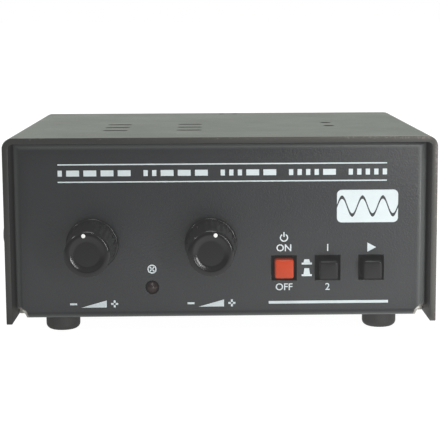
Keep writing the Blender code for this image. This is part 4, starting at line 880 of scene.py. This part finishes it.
def ink_word(word, x, z):
    """Plain lettering, centred on a point."""
    curve = bpy.data.curves.new("word", "FONT")
    curve.body = word
    curve.align_x = "CENTER"
    curve.offset = WORD_BOLD
    curve.extrude = 0.5
    curve.resolution_u = LETTER_STEPS
    mesh = applied(new_object("word", curve))
    heights = [vert.co.y for vert in mesh.vertices]
    low, tall = min(heights), max(heights) - min(heights)
    scale = WORD_HEIGHT / tall
    flat = Matrix.Diagonal((scale, scale, INK_PROUD + INK_SINK, 1))
    mesh.transform(flat @ Matrix.Translation((0, -low - tall / 2, 0)))
    return put(mesh, (x, PANEL_Y - (INK_PROUD - INK_SINK) / 2, z), FACE_FRONT)


units = [len(digit) - 1 + sum(MARK_UNITS[mark] for mark in digit) for digit in MORSE_DIGITS]
unit = (INDEX_RIGHT - INDEX_LEFT) / (sum(units) + DIGIT_GAP * (len(MORSE_DIGITS) - 1))
mark_places = []
x = INDEX_LEFT
for digit in MORSE_DIGITS:
    for mark in digit:
        length = unit * MARK_UNITS[mark]
        mark_places.append(((x + length / 2, PANEL_Y, INDEX_Z), FLAT, (length, 1, MARK_HEIGHT)))
        x += length + unit
    x += (DIGIT_GAP - 1) * unit
mark_mesh = box_mesh((-0.5, -INK_PROUD, -0.5), (0.5, INK_SINK, 0.5))
index = repeated(mark_mesh, mark_places)
middle = (INDEX_LEFT + INDEX_RIGHT) / 2
rules = [bar(middle, z, INDEX_RIGHT - INDEX_LEFT, RULE_HEIGHT) for z in RULE_ZS]

half_x, half_z = PLATE_SIZE[0] / 2, PLATE_SIZE[1] / 2
flat_x, flat_z = half_x - PLATE_CORNER, half_z - PLATE_CORNER
upper = []
for step in range(WAVE_STEPS + 1):
    wave = WAVE_RISE * math.sin(math.tau * WAVES * step / WAVE_STEPS)
    upper.append((-half_x + 2 * half_x * step / WAVE_STEPS, wave + WAVE_LINE / 2))
upper += arc((flat_x, flat_z), PLATE_CORNER, 0, 90) + arc((-flat_x, flat_z), PLATE_CORNER, 90, 180)
plate = [ink_solid([(side * u, side * v) for u, v in upper], *PLATE_CENTRE) for side in (1, -1)]

signs = []
for node in ("speed_knob", "volume_knob"):
    x = centre_of(node).x
    signs.append(ink_solid(WEDGE, x, SIGN_Z))
    signs.append(bar(x - SIGN_OFFSET, SIGN_Z, SIGN_LENGTH, SIGN_LINE))
    signs.append(bar(x + SIGN_OFFSET, SIGN_Z, SIGN_LENGTH, SIGN_LINE))
    signs.append(bar(x + SIGN_OFFSET, SIGN_Z, SIGN_LINE, SIGN_LENGTH))
lamp_x, lamp_z = led_place.x, led_place.z + LAMP_SIGN_RISE
signs.append(ink_ring(lamp_x, lamp_z, LAMP_SIGN_RADIUS))
for rise in (-LAMP_CROSS, LAMP_CROSS):
    signs.append(ink_line((lamp_x - LAMP_CROSS, lamp_z - rise), (lamp_x + LAMP_CROSS, lamp_z + rise)))
power_x, mode_x, message_x = (centre_of(node).x for node in button_nodes)
signs += [ink_word("ON", power_x, ABOVE_Z), ink_word("OFF", power_x, BELOW_Z)]
signs += [ink_word("1", mode_x, ABOVE_Z), ink_word("2", mode_x, BELOW_Z)]
signs.append(ink_ring(power_x, POWER_Z, POWER_RADIUS, *POWER_ARC))
signs.append(ink_line(*((power_x, POWER_Z + rise) for rise in POWER_STROKE)))
signs.append(ink_solid(TRIANGLE, message_x, ABOVE_Z))
for low, foot, height in PICTOGRAMS:
    signs.append(bar(PICTOGRAM_X, low, PICTOGRAM_BAR, SIGN_LINE))
    outline = [(-foot, PICTOGRAM_GAP), (foot, PICTOGRAM_GAP)]
    outline += [(PICTOGRAM_TOP, height), (-PICTOGRAM_TOP, height)]
    signs.append(ink_solid(outline, PICTOGRAM_X, low))
signs.append(bar(*PLAIN_RULE_PLACE, *PLAIN_RULE_SIZE))
ink_look = finish("white_ink", INK, 0.55, vary=0.12, gloss_vary=0.10, patches=400, grain=6000)
make_piece("front_print", joined([index] + rules + plate + signs, "print"), ink_look, "case", "ivory")

# Cover screws
# Four black pan-head machine screws with a cross recess, two on each side, go through the cover into the
# chassis's flanges.
SCREW_HEAD_RADIUS = 0.0027
SCREW_HEAD_HEIGHT = 0.0012
SCREW_HEAD_DOME = 0.62
SCREW_HEAD_EASE = 0.0001
SCREW_HEAD_STEPS = 8
SCREW_SHANK_RADIUS = 0.0014
SCREW_SHANK_LENGTH = 0.0055
SCREW_SIDES = 40
CROSS_LENGTH = 0.0030
CROSS_WIDTH = 0.0007
CROSS_DEPTH = 0.0007
SCREW_SEAT_GAP = 0.0002
SCREW_SPINS = (12, 49, -23, 70)

profile = [(0, -SCREW_SHANK_LENGTH), (SCREW_SHANK_RADIUS, -SCREW_SHANK_LENGTH), (SCREW_SHANK_RADIUS, 0)]
profile += [(SCREW_HEAD_RADIUS - SCREW_HEAD_EASE, 0), (SCREW_HEAD_RADIUS, SCREW_HEAD_EASE)]
dome = SCREW_HEAD_HEIGHT * SCREW_HEAD_DOME
profile += arc((SCREW_HEAD_RADIUS - dome, SCREW_HEAD_HEIGHT - dome), dome, 0, 90, SCREW_HEAD_STEPS)
profile += [(0, SCREW_HEAD_HEIGHT)]
crosses = []
for long_x, long_y in ((CROSS_LENGTH, CROSS_WIDTH), (CROSS_WIDTH, CROSS_LENGTH)):
    low = (-long_x / 2, -long_y / 2, SCREW_HEAD_HEIGHT - CROSS_DEPTH)
    crosses.append(box_mesh(low, (long_x / 2, long_y / 2, SCREW_HEAD_HEIGHT + CUT_END)))
pan_screw = shaped(turned_mesh(profile, SCREW_SIDES), crosses)
screw_turns = []
for (place, turn), spin in zip(screw_seats, SCREW_SPINS):
    side = math.copysign(1, place[0])
    seat = (place[0] + side * SCREW_SEAT_GAP, place[1], place[2])
    screw_turns.append((seat, turn @ Matrix.Rotation(math.radians(spin), 4, "Z"), EVEN))
screw_look = finish(
    "black_oxide", (42, 42, 44), 0.38, metallic=0.9, vary=0.15, patches=300, grain=3000, relief=0.00002
)
screws = repeated(pan_screw, screw_turns, screw_look)
make_piece("cover_screws", screws, screw_look, "case", "black_screw", *screw_nodes)

# Feet
# Four moulded black rubber bumpers, round with a rolled lower edge, stuck under the floor.
FOOT_ROUND = 0.0015
FOOT_STEPS = 10
FOOT_SIDES = 64
FOOT_EASE = 0.0003
FOOT_HOLLOW = (0.0012, 0.0015)
foot_nodes = ("foot_front_left", "foot_front_right", "foot_rear_left", "foot_rear_right")
foot_low, foot_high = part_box("foot_front_left")
foot_radius = (foot_high.x - foot_low.x) / 2
profile = [(0, FOOT_EASE), (FOOT_HOLLOW[0], FOOT_EASE), (FOOT_HOLLOW[1], 0)]
profile += arc((foot_radius - FOOT_ROUND, FOOT_ROUND), FOOT_ROUND, -90, 0, FOOT_STEPS)
profile += [(foot_radius, foot_high.z - FOOT_EASE), (foot_radius - FOOT_EASE, foot_high.z)]
profile += [(0, foot_high.z)]
rubber_look = finish("black_rubber", (58, 57, 56), 0.60, vary=0.2, patches=500, grain=4000, relief=0.00005)
foot_places = [((centre_of(node).x, centre_of(node).y, 0), FLAT, EVEN) for node in foot_nodes]
feet = repeated(turned_mesh(profile, FOOT_SIDES), foot_places, rubber_look)
make_piece("rubber_feet", feet, rubber_look, "case", "rubber", *foot_nodes)

# Knobs
# Two glossy black moulded knobs, pressed on D-shafts: a base ring, a finely fluted taper, a smooth band and
# a dished front with a white dot let into its rim.
KNOB_CAVITY = (0.0056, 0.0040)
KNOB_BORE = (0.0033, 0.0136)
KNOB_BASE_THICKNESS = 0.0013
KNOB_EDGE = 0.00045
KNOB_EDGE_STEPS = 5
KNOB_BODY_RADIUS = 0.006196
KNOB_FRONT_RADIUS = 0.005596
KNOB_FLUTE_DEPTH = 0.0002
KNOB_FLUTES = 24
FLUTE_FADE = 0.0008
FLUTE_SIDES = 8
TAPER_STEPS = 24
KNOB_SMOOTH_BAND = 0.0016
KNOB_FRONT_EDGE = (0.0010, 0.0005)
FRONT_EDGE_STEPS = 12
KNOB_RIM_WIDTH = 0.0013
KNOB_DISH = (0.00105, 0.00032)
DISH_CURVE = 0.25
DISH_STEPS = 10
DISH_EASE = 0.0003
RIM_EASE = 0.00008
DOT_RADIUS = 0.0005
DOT_FLAT = 0.8
DOT_SIDES = 24
DOT_DEPTH = 0.0003
DOT_LOW = 0.00003
DOT_INSET = 0.0010
KNOB_TURNS = {"speed_knob": -9.6, "volume_knob": 14.2}

knob_low, knob_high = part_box("speed_knob")
knob_length = knob_high.y - knob_low.y
knob_base = (knob_high.x - knob_low.x) / 2
taper_start = KNOB_BASE_THICKNESS + KNOB_EDGE
taper_end = knob_length - KNOB_SMOOTH_BAND


def flute(angle, height):
    """The scale of the radius round the fluted taper, which runs out at both ends."""
    fade = max(0, min(1, (height - taper_start) / FLUTE_FADE, (taper_end - height) / FLUTE_FADE))
    return 1 - KNOB_FLUTE_DEPTH / KNOB_BODY_RADIUS * fade * (0.5 - 0.5 * math.cos(KNOB_FLUTES * angle))


bore_radius, bore_end = KNOB_BORE
cavity_radius, cavity_end = KNOB_CAVITY
profile = [(0, bore_end), (bore_radius, bore_end), (bore_radius, cavity_end)]
profile += [(cavity_radius, cavity_end), (cavity_radius, 0)]
for height, start in ((KNOB_EDGE, -90), (KNOB_BASE_THICKNESS - KNOB_EDGE, 0)):
    profile += arc((knob_base - KNOB_EDGE, height), KNOB_EDGE, start, start + 90, KNOB_EDGE_STEPS)
profile += [(KNOB_BODY_RADIUS, KNOB_BASE_THICKNESS)]
for step in range(TAPER_STEPS + 1):
    share = step / TAPER_STEPS
    radius = KNOB_BODY_RADIUS + (KNOB_FRONT_RADIUS - KNOB_BODY_RADIUS) * share
    profile.append((radius, taper_start + (taper_end - taper_start) * share, flute))
edge_width, edge_fall = KNOB_FRONT_EDGE
for across, along in arc((0, 0), 1, 0, 90, FRONT_EDGE_STEPS):
    profile.append((KNOB_FRONT_RADIUS - edge_width * (1 - across), knob_length - edge_fall * (1 - along)))
rim_inner = KNOB_FRONT_RADIUS - KNOB_RIM_WIDTH
dish_slope, dish_depth = KNOB_DISH
profile += [(rim_inner + RIM_EASE, knob_length)]
for step in range(1, DISH_STEPS + 1):
    share = step / DISH_STEPS
    fall = share + DISH_CURVE * share * (1 - share)
    profile.append((rim_inner - dish_slope * share, knob_length - dish_depth * fall))
profile += [(rim_inner - dish_slope - DISH_EASE, knob_length - dish_depth), (0, knob_length - dish_depth)]
dot_profile = [(0, -DOT_DEPTH), (DOT_RADIUS, -DOT_DEPTH), (DOT_RADIUS, -2 * DOT_LOW)]
dot_profile += [(DOT_FLAT * DOT_RADIUS, -DOT_LOW), (0, -DOT_LOW)]
dot_reach = KNOB_FRONT_RADIUS - DOT_INSET
knob_look = finish(
    "black_phenolic", (5, 5, 6), 0.16, shine=0.27, vary=0.12, gloss_vary=0.08, patches=200, grain=3500,
    relief=0.000008,
)
dot_look = finish("dot_white", (232, 234, 230), 0.45, vary=0.05, patches=900)
for node, angle in KNOB_TURNS.items():
    middle = centre_of(node)
    turn = math.radians(angle)
    dot_at = (middle.x + dot_reach * math.sin(turn), knob_low.y, middle.z + dot_reach * math.cos(turn))
    dimple = round_cut(DOT_RADIUS, -DOT_DEPTH, CUT_END, dot_at, FACE_FRONT, DOT_SIDES)
    moulding = put(turned_mesh(profile, KNOB_FLUTES * FLUTE_SIDES), at_plane(node, knob_high.y), FACE_FRONT)
    body = node.replace("_knob", "_knob_and_shaft")
    make_piece(node + "_moulding", shaped(moulding, [dimple]), knob_look, body, "knob", node)
    dot = put(turned_mesh(dot_profile, DOT_SIDES), dot_at, FACE_FRONT)
    make_piece(node + "_dot", dot, dot_look, body, "ivory")

# Pilot light
# A small dark red LED, its dome pushed through the panel, with two tinned leads bent down to the board.
LED_RADIUS = 0.0015
LED_STEPS = 14
LED_FLANGE_THICKNESS = 0.0009
LED_LEAD_SPACING = 0.0012
LED_LEAD_WIDTH = 0.0005
LED_LEAD_REACH = 0.0030
led_back = led_high.y - LED_LEAD_REACH
led_length = led_back - led_low.y
profile = [(0, 0), (LED_FLANGE_RADIUS, 0), (LED_FLANGE_RADIUS, LED_FLANGE_THICKNESS)]
profile += [(LED_RADIUS, LED_FLANGE_THICKNESS)]
profile += arc((0, led_length - LED_RADIUS), LED_RADIUS, 0, 90, LED_STEPS)[:-1] + [(0, led_length)]
lens_mesh = put(turned_mesh(profile), (led_place.x, led_back, led_place.z), FACE_FRONT)
lens_look = finish("dark_red_lens", (38, 24, 23), 0.34, shine=0.35, vary=0.15, gloss_vary=0.03, patches=900)
make_piece("pilot_lens", lens_mesh, lens_look, "case", "lens", "pilot_light")
lead_half = LED_LEAD_WIDTH / 2
lead_bend = led_high.y
lead_path = [
    (led_back, led_place.z + lead_half),
    (lead_bend, led_place.z + lead_half),
    (lead_bend, led_low.z),
    (lead_bend - LED_LEAD_WIDTH, led_low.z),
    (lead_bend - LED_LEAD_WIDTH, led_place.z - lead_half),
    (led_back, led_place.z - lead_half),
]
lead_parts = []
for side in (-1, 1):
    x = led_place.x + side * LED_LEAD_SPACING
    low, high = x - lead_half, x + lead_half
    lead_parts.append(extruded_mesh(lead_path, low, high, lambda u, v, depth: (depth, u, v)))
tin_look = finish("tinned_wire", (176, 176, 172), 0.30, metallic=1.0, vary=0.1, patches=600)
make_piece("pilot_leads", joined(lead_parts, "leads"), tin_look, "case", "steel")

# Button caps
# Three square moulded caps pushed onto the switch plungers: glossy, with rounded edges and a slightly
# crowned face. The red one is latched in.
CAP_EDGE = 0.00055
CAP_EDGE_STEPS = 5
CAP_CROWN = 0.00005
CAP_FACE_CUTS = 8
CAP_FACE_DEPTH = CAP_EDGE / 20
CAP_SOCKET = (0.0034, 0.0044)
CAP_LOOKS = {
    "power_button": ("power_slide", "red_cap", (186, 57, 10)),
    "mode_button": ("mode_slide", "black_cap", (11, 11, 12)),
    "message_button": ("message_slide", "black_cap", (11, 11, 12)),
}


def cap_mesh(low, high):
    """A cap with rounded edges, a crowned front face and a socket for the plunger behind."""
    bm = bmesh.new()
    add_box(bm, (low.x, low.y + CAP_CROWN, low.z), high)
    round_edges(bm, bm.edges[:], CAP_EDGE, CAP_EDGE_STEPS)
    front = low.y + CAP_CROWN + CAP_FACE_DEPTH
    face = [f for f in bm.faces if all(v.co.y < front for v in f.verts)]
    half = (high.x - low.x) / 2 - CAP_EDGE
    middle = (low + high) / 2
    rim = list({e for f in face for e in f.edges})
    bmesh.ops.subdivide_edges(bm, edges=rim, cuts=CAP_FACE_CUTS, use_grid_fill=True)
    for vert in bm.verts:
        if vert.co.y < front:
            u = (vert.co.x - middle.x) / half
            v = (vert.co.z - middle.z) / half
            vert.co.y -= CAP_CROWN * max(0, 1 - u * u) * max(0, 1 - v * v)
    cap = mesh_of(bm, "cap")
    socket_half = CAP_SOCKET[0] / 2
    socket_low = (middle.x - socket_half, high.y - CAP_SOCKET[1], middle.z - socket_half)
    socket_high = (middle.x + socket_half, high.y + CUT_END, middle.z + socket_half)
    return shaped(cap, [box_mesh(socket_low, socket_high)])


for node, (body, slot, colour) in CAP_LOOKS.items():
    low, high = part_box(node)
    cap_look = finish(
        slot + "_" + body, colour, 0.24, shine=0.23, vary=0.06, gloss_vary=0.05, patches=250, grain=3000,
        relief=0.000006,
    )
    make_piece(node + "_cap", cap_mesh(low, high), cap_look, body, slot, node)

# Rear jacks
# Two sockets for plugs and one for power: moulded black bodies on the board, threaded bushings through the
# rear panel, and nickel-plated hexagon nuts.
THREAD_PITCH = 0.0005
THREAD_DEPTH = 0.00018
NUT_CHAMFER = 0.0003
JACK_BORES = {"paddle_jack": (0.0018, 0.0140), "key_jack": (0.0018, 0.0140), "power_jack": (0.0030, 0.0100)}
POWER_PIN = (0.00105, 0.0010)
NUT_WALL = 0.0010
NUT_BORE_GAP = 0.0002
NUT_FACE_SHARE = 0.98
NUT_CORNER_FALL = 1.2
BORE_EASE = 0.0003
PIN_EASE = 0.0004
BODY_GAP = 0.0003
BODY_EDGE = 0.0004
BUSHING_SUNK = 0.0002
BUSHING_SIDES = 64
jack_look = finish("jack_moulding", (30, 30, 31), 0.40, vary=0.12, patches=300, grain=3000, relief=0.00001)
nickel_look = finish(
    "nickel", (188, 186, 178), 0.24, metallic=1.0, vary=0.08, gloss_vary=0.12, patches=240, grain=2200
)


def hexagon(angle, height=0):
    """The scale that turns a circle through the flats into a hexagon round it."""
    return 1 / math.cos(angle % (math.pi / 3) - math.pi / 6)


def nut_mesh(bore, flats, thickness):
    """A hexagon nut: its corners are turned off on the outer face."""
    corner = flats / math.cos(math.pi / 6)
    profile = [(bore, 0), (flats, 0, hexagon), (flats, thickness, hexagon), (bore, thickness)]
    nut = turned_mesh(profile, ring=True)
    rim = [(corner * 2, thickness - NUT_CHAMFER * 2), (corner * 2, thickness + CUT_END)]
    rim += [(flats * NUT_FACE_SHARE, thickness + CUT_END), (flats * NUT_FACE_SHARE, thickness)]
    rim += [(corner, thickness - NUT_CHAMFER * NUT_CORNER_FALL)]
    return shaped(nut, [turned_mesh(rim, 2 * ROUND_SIDES, ring=True)])


def bushing_mesh(radius, bore, bore_depth, start, end):
    """A threaded bushing with a bore, open at the outer end."""
    profile = [(0, end - bore_depth), (bore, end - bore_depth), (bore, end - BORE_EASE)]
    profile += [(bore + BORE_EASE, end), (radius - THREAD_DEPTH, end), (radius, end - THREAD_DEPTH)]
    height = end - THREAD_DEPTH
    while height - THREAD_PITCH > start:
        profile += [(radius - THREAD_DEPTH, height - THREAD_PITCH / 2), (radius, height - THREAD_PITCH)]
        height -= THREAD_PITCH
    profile += [(radius, start), (0, start)]
    return turned_mesh(profile, BUSHING_SIDES)


for node, (bore, bore_depth) in JACK_BORES.items():
    low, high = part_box(node)
    nut_low, nut_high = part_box(node + "_nut")
    radius = JACK_BUSHING_RADII[node]
    body_back = rear_inner - BODY_GAP
    end = high.y - body_back
    block = box_mesh(low, (high.x, body_back, high.z), BODY_EDGE, SOFT_STEPS)
    at = at_plane(node + "_nut", body_back)
    bushing = put(bushing_mesh(radius, bore, end + BUSHING_SUNK, -BUSHING_SUNK, end), at, FACE_REAR)
    inner_bore = round_cut(bore, end - bore_depth, CUT_END, at, FACE_REAR)
    pieces = [shaped(block, [inner_bore]), bushing]
    if node == "power_jack":
        pin_radius, pin_inset = POWER_PIN
        tip = end - pin_inset
        pin = [(0, end - bore_depth), (pin_radius, end - bore_depth), (pin_radius, tip - PIN_EASE)]
        pin += [(pin_radius - PIN_EASE, tip), (0, tip)]
        pieces.append(put(turned_mesh(pin, HOLE_SIDES), at, FACE_REAR))
    make_piece(node + "_socket", joined(pieces, "jack"), jack_look, "case", "socket", node)
    nut = nut_mesh(radius + NUT_BORE_GAP, radius + NUT_WALL, nut_high.y - nut_low.y)
    put(nut, at_plane(node + "_nut", nut_low.y), FACE_REAR)
    make_piece(node + "_hexagon", nut, nickel_look, "case", "steel", node + "_nut")

# Loudspeaker
# A small loudspeaker glued by its rim under the slots: pressed steel frame, ribbed grey paper cone with a
# domed cap, and a magnet below.
CONE_WALL = 0.0005
CONE_DEPTH = 0.0040
CONE_NECK = 0.0045
CONE_DOME = 0.0014
CONE_RIBS = 5
CONE_RIPPLE = 0.00012
CONE_SINK = 0.0001
CONE_STEPS = 60
CONE_SIDES = 96
DOME_BACK = 0.7
cone_low, cone_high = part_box("speaker_cone")
cone_edge = (cone_high.x - cone_low.x) / 2
cone_inner = cone_edge - CONE_WALL
profile = [(cone_edge, -CONE_WALL), (cone_edge, 0)]
for step in range(CONE_STEPS + 1):
    share = step / CONE_STEPS
    ripple = CONE_RIPPLE * math.sin(math.tau * CONE_RIBS * min(1, share * 2)) * (share < 0.5)
    height = -CONE_DEPTH * share + ripple - CONE_SINK * (share > 0)
    profile.append((cone_inner - (cone_inner - CONE_NECK) * share, height))
profile += [(CONE_NECK * x, CONE_DOME * z - CONE_DEPTH) for x, z in arc((0, 0), 1, 0, 90)[1:-1]]
profile += [(0, CONE_DOME - CONE_DEPTH), (0, CONE_DOME - CONE_DEPTH - CONE_WALL)]
profile += [(CONE_NECK * DOME_BACK, CONE_DOME / 2 - CONE_DEPTH - CONE_WALL)]
profile += [(CONE_NECK, -CONE_DEPTH - CONE_WALL), (cone_inner, -CONE_WALL)]
cone_middle = centre_of("speaker_cone")
cone = turned_mesh(profile, CONE_SIDES, ring=True)
put(cone, (cone_middle.x, cone_middle.y, cone_high.z))
paper_look = finish("grey_paper", (62, 60, 57), 0.85, vary=0.25, patches=700, grain=5000, relief=0.00006)
make_piece("ribbed_cone", cone, paper_look, "case", "paper", "speaker_cone")

# Parts inside
# The circuit board and what stands on it, the controls and switches behind the panel, the battery with its
# snap and clip, and the leads: they keep their solid shapes and get their real finishes.
INNER_LOOKS = (
    (finish("green_board", (34, 84, 52), 0.35, coat=0.3, vary=0.12, patches=150, grain=1800,
            relief=0.00001),
     "circuit_board"),
    (finish("zinc_plate", (128, 127, 122), 0.48, metallic=1.0, vary=0.12, gloss_vary=0.12, patches=300,
            grain=2400),
     "board_screw_left board_screw_right standoff_left standoff_right battery_clip speaker_frame "
     "speed_control_body volume_control_body speed_nut volume_nut speed_washer volume_washer"),
    (finish("turned_aluminium", (190, 190, 188), 0.30, metallic=1.0, vary=0.06, patches=600, grain=4000),
     "speed_shaft volume_shaft"),
    (finish("ferrite", (48, 47, 47), 0.70, vary=0.2, patches=500, grain=3500, relief=0.00003),
     "speaker_magnet"),
    (finish("ivory_nylon", (214, 206, 186), 0.45, vary=0.06, patches=300, grain=2500),
     "power_plunger mode_plunger message_plunger weight_trimmer_rotor tone_trimmer_rotor"),
    (finish("switch_moulding", (52, 54, 58), 0.45, vary=0.12, patches=300, grain=2600, relief=0.00001),
     "power_switch mode_switch message_switch"),
    (finish("blue_moulding", (38, 78, 140), 0.38, vary=0.08, patches=300, grain=2600),
     "weight_trimmer_body tone_trimmer_body"),
    (finish("black_epoxy", (34, 34, 35), 0.50, vary=0.12, patches=500, grain=3500, relief=0.00001),
     "chip_socket keyer_chip regulator keying_transistor"),
    (finish("sleeved_can", (30, 44, 74), 0.30, coat=0.3, vary=0.1, patches=300, grain=2500),
     "supply_capacitor audio_capacitor"),
    (finish("ochre_epoxy", (190, 128, 50), 0.40, vary=0.12, patches=400, grain=2500), "resonator"),
    (finish("battery_jacket", (58, 60, 64), 0.34, metallic=0.4, vary=0.1, patches=200, grain=2200),
     "battery"),
    (finish("snap_vinyl", (36, 35, 35), 0.55, vary=0.15, patches=400, grain=3000, relief=0.00002),
     "battery_snap"),
    (finish("lead_vinyl", (150, 36, 32), 0.42, vary=0.1, patches=500, grain=3000),
     "battery_lead speaker_lead"),
)
for look, nodes in INNER_LOOKS:
    for node in nodes.split():
        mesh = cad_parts[node].data
        mesh.materials.clear()
        mesh.materials.append(look)
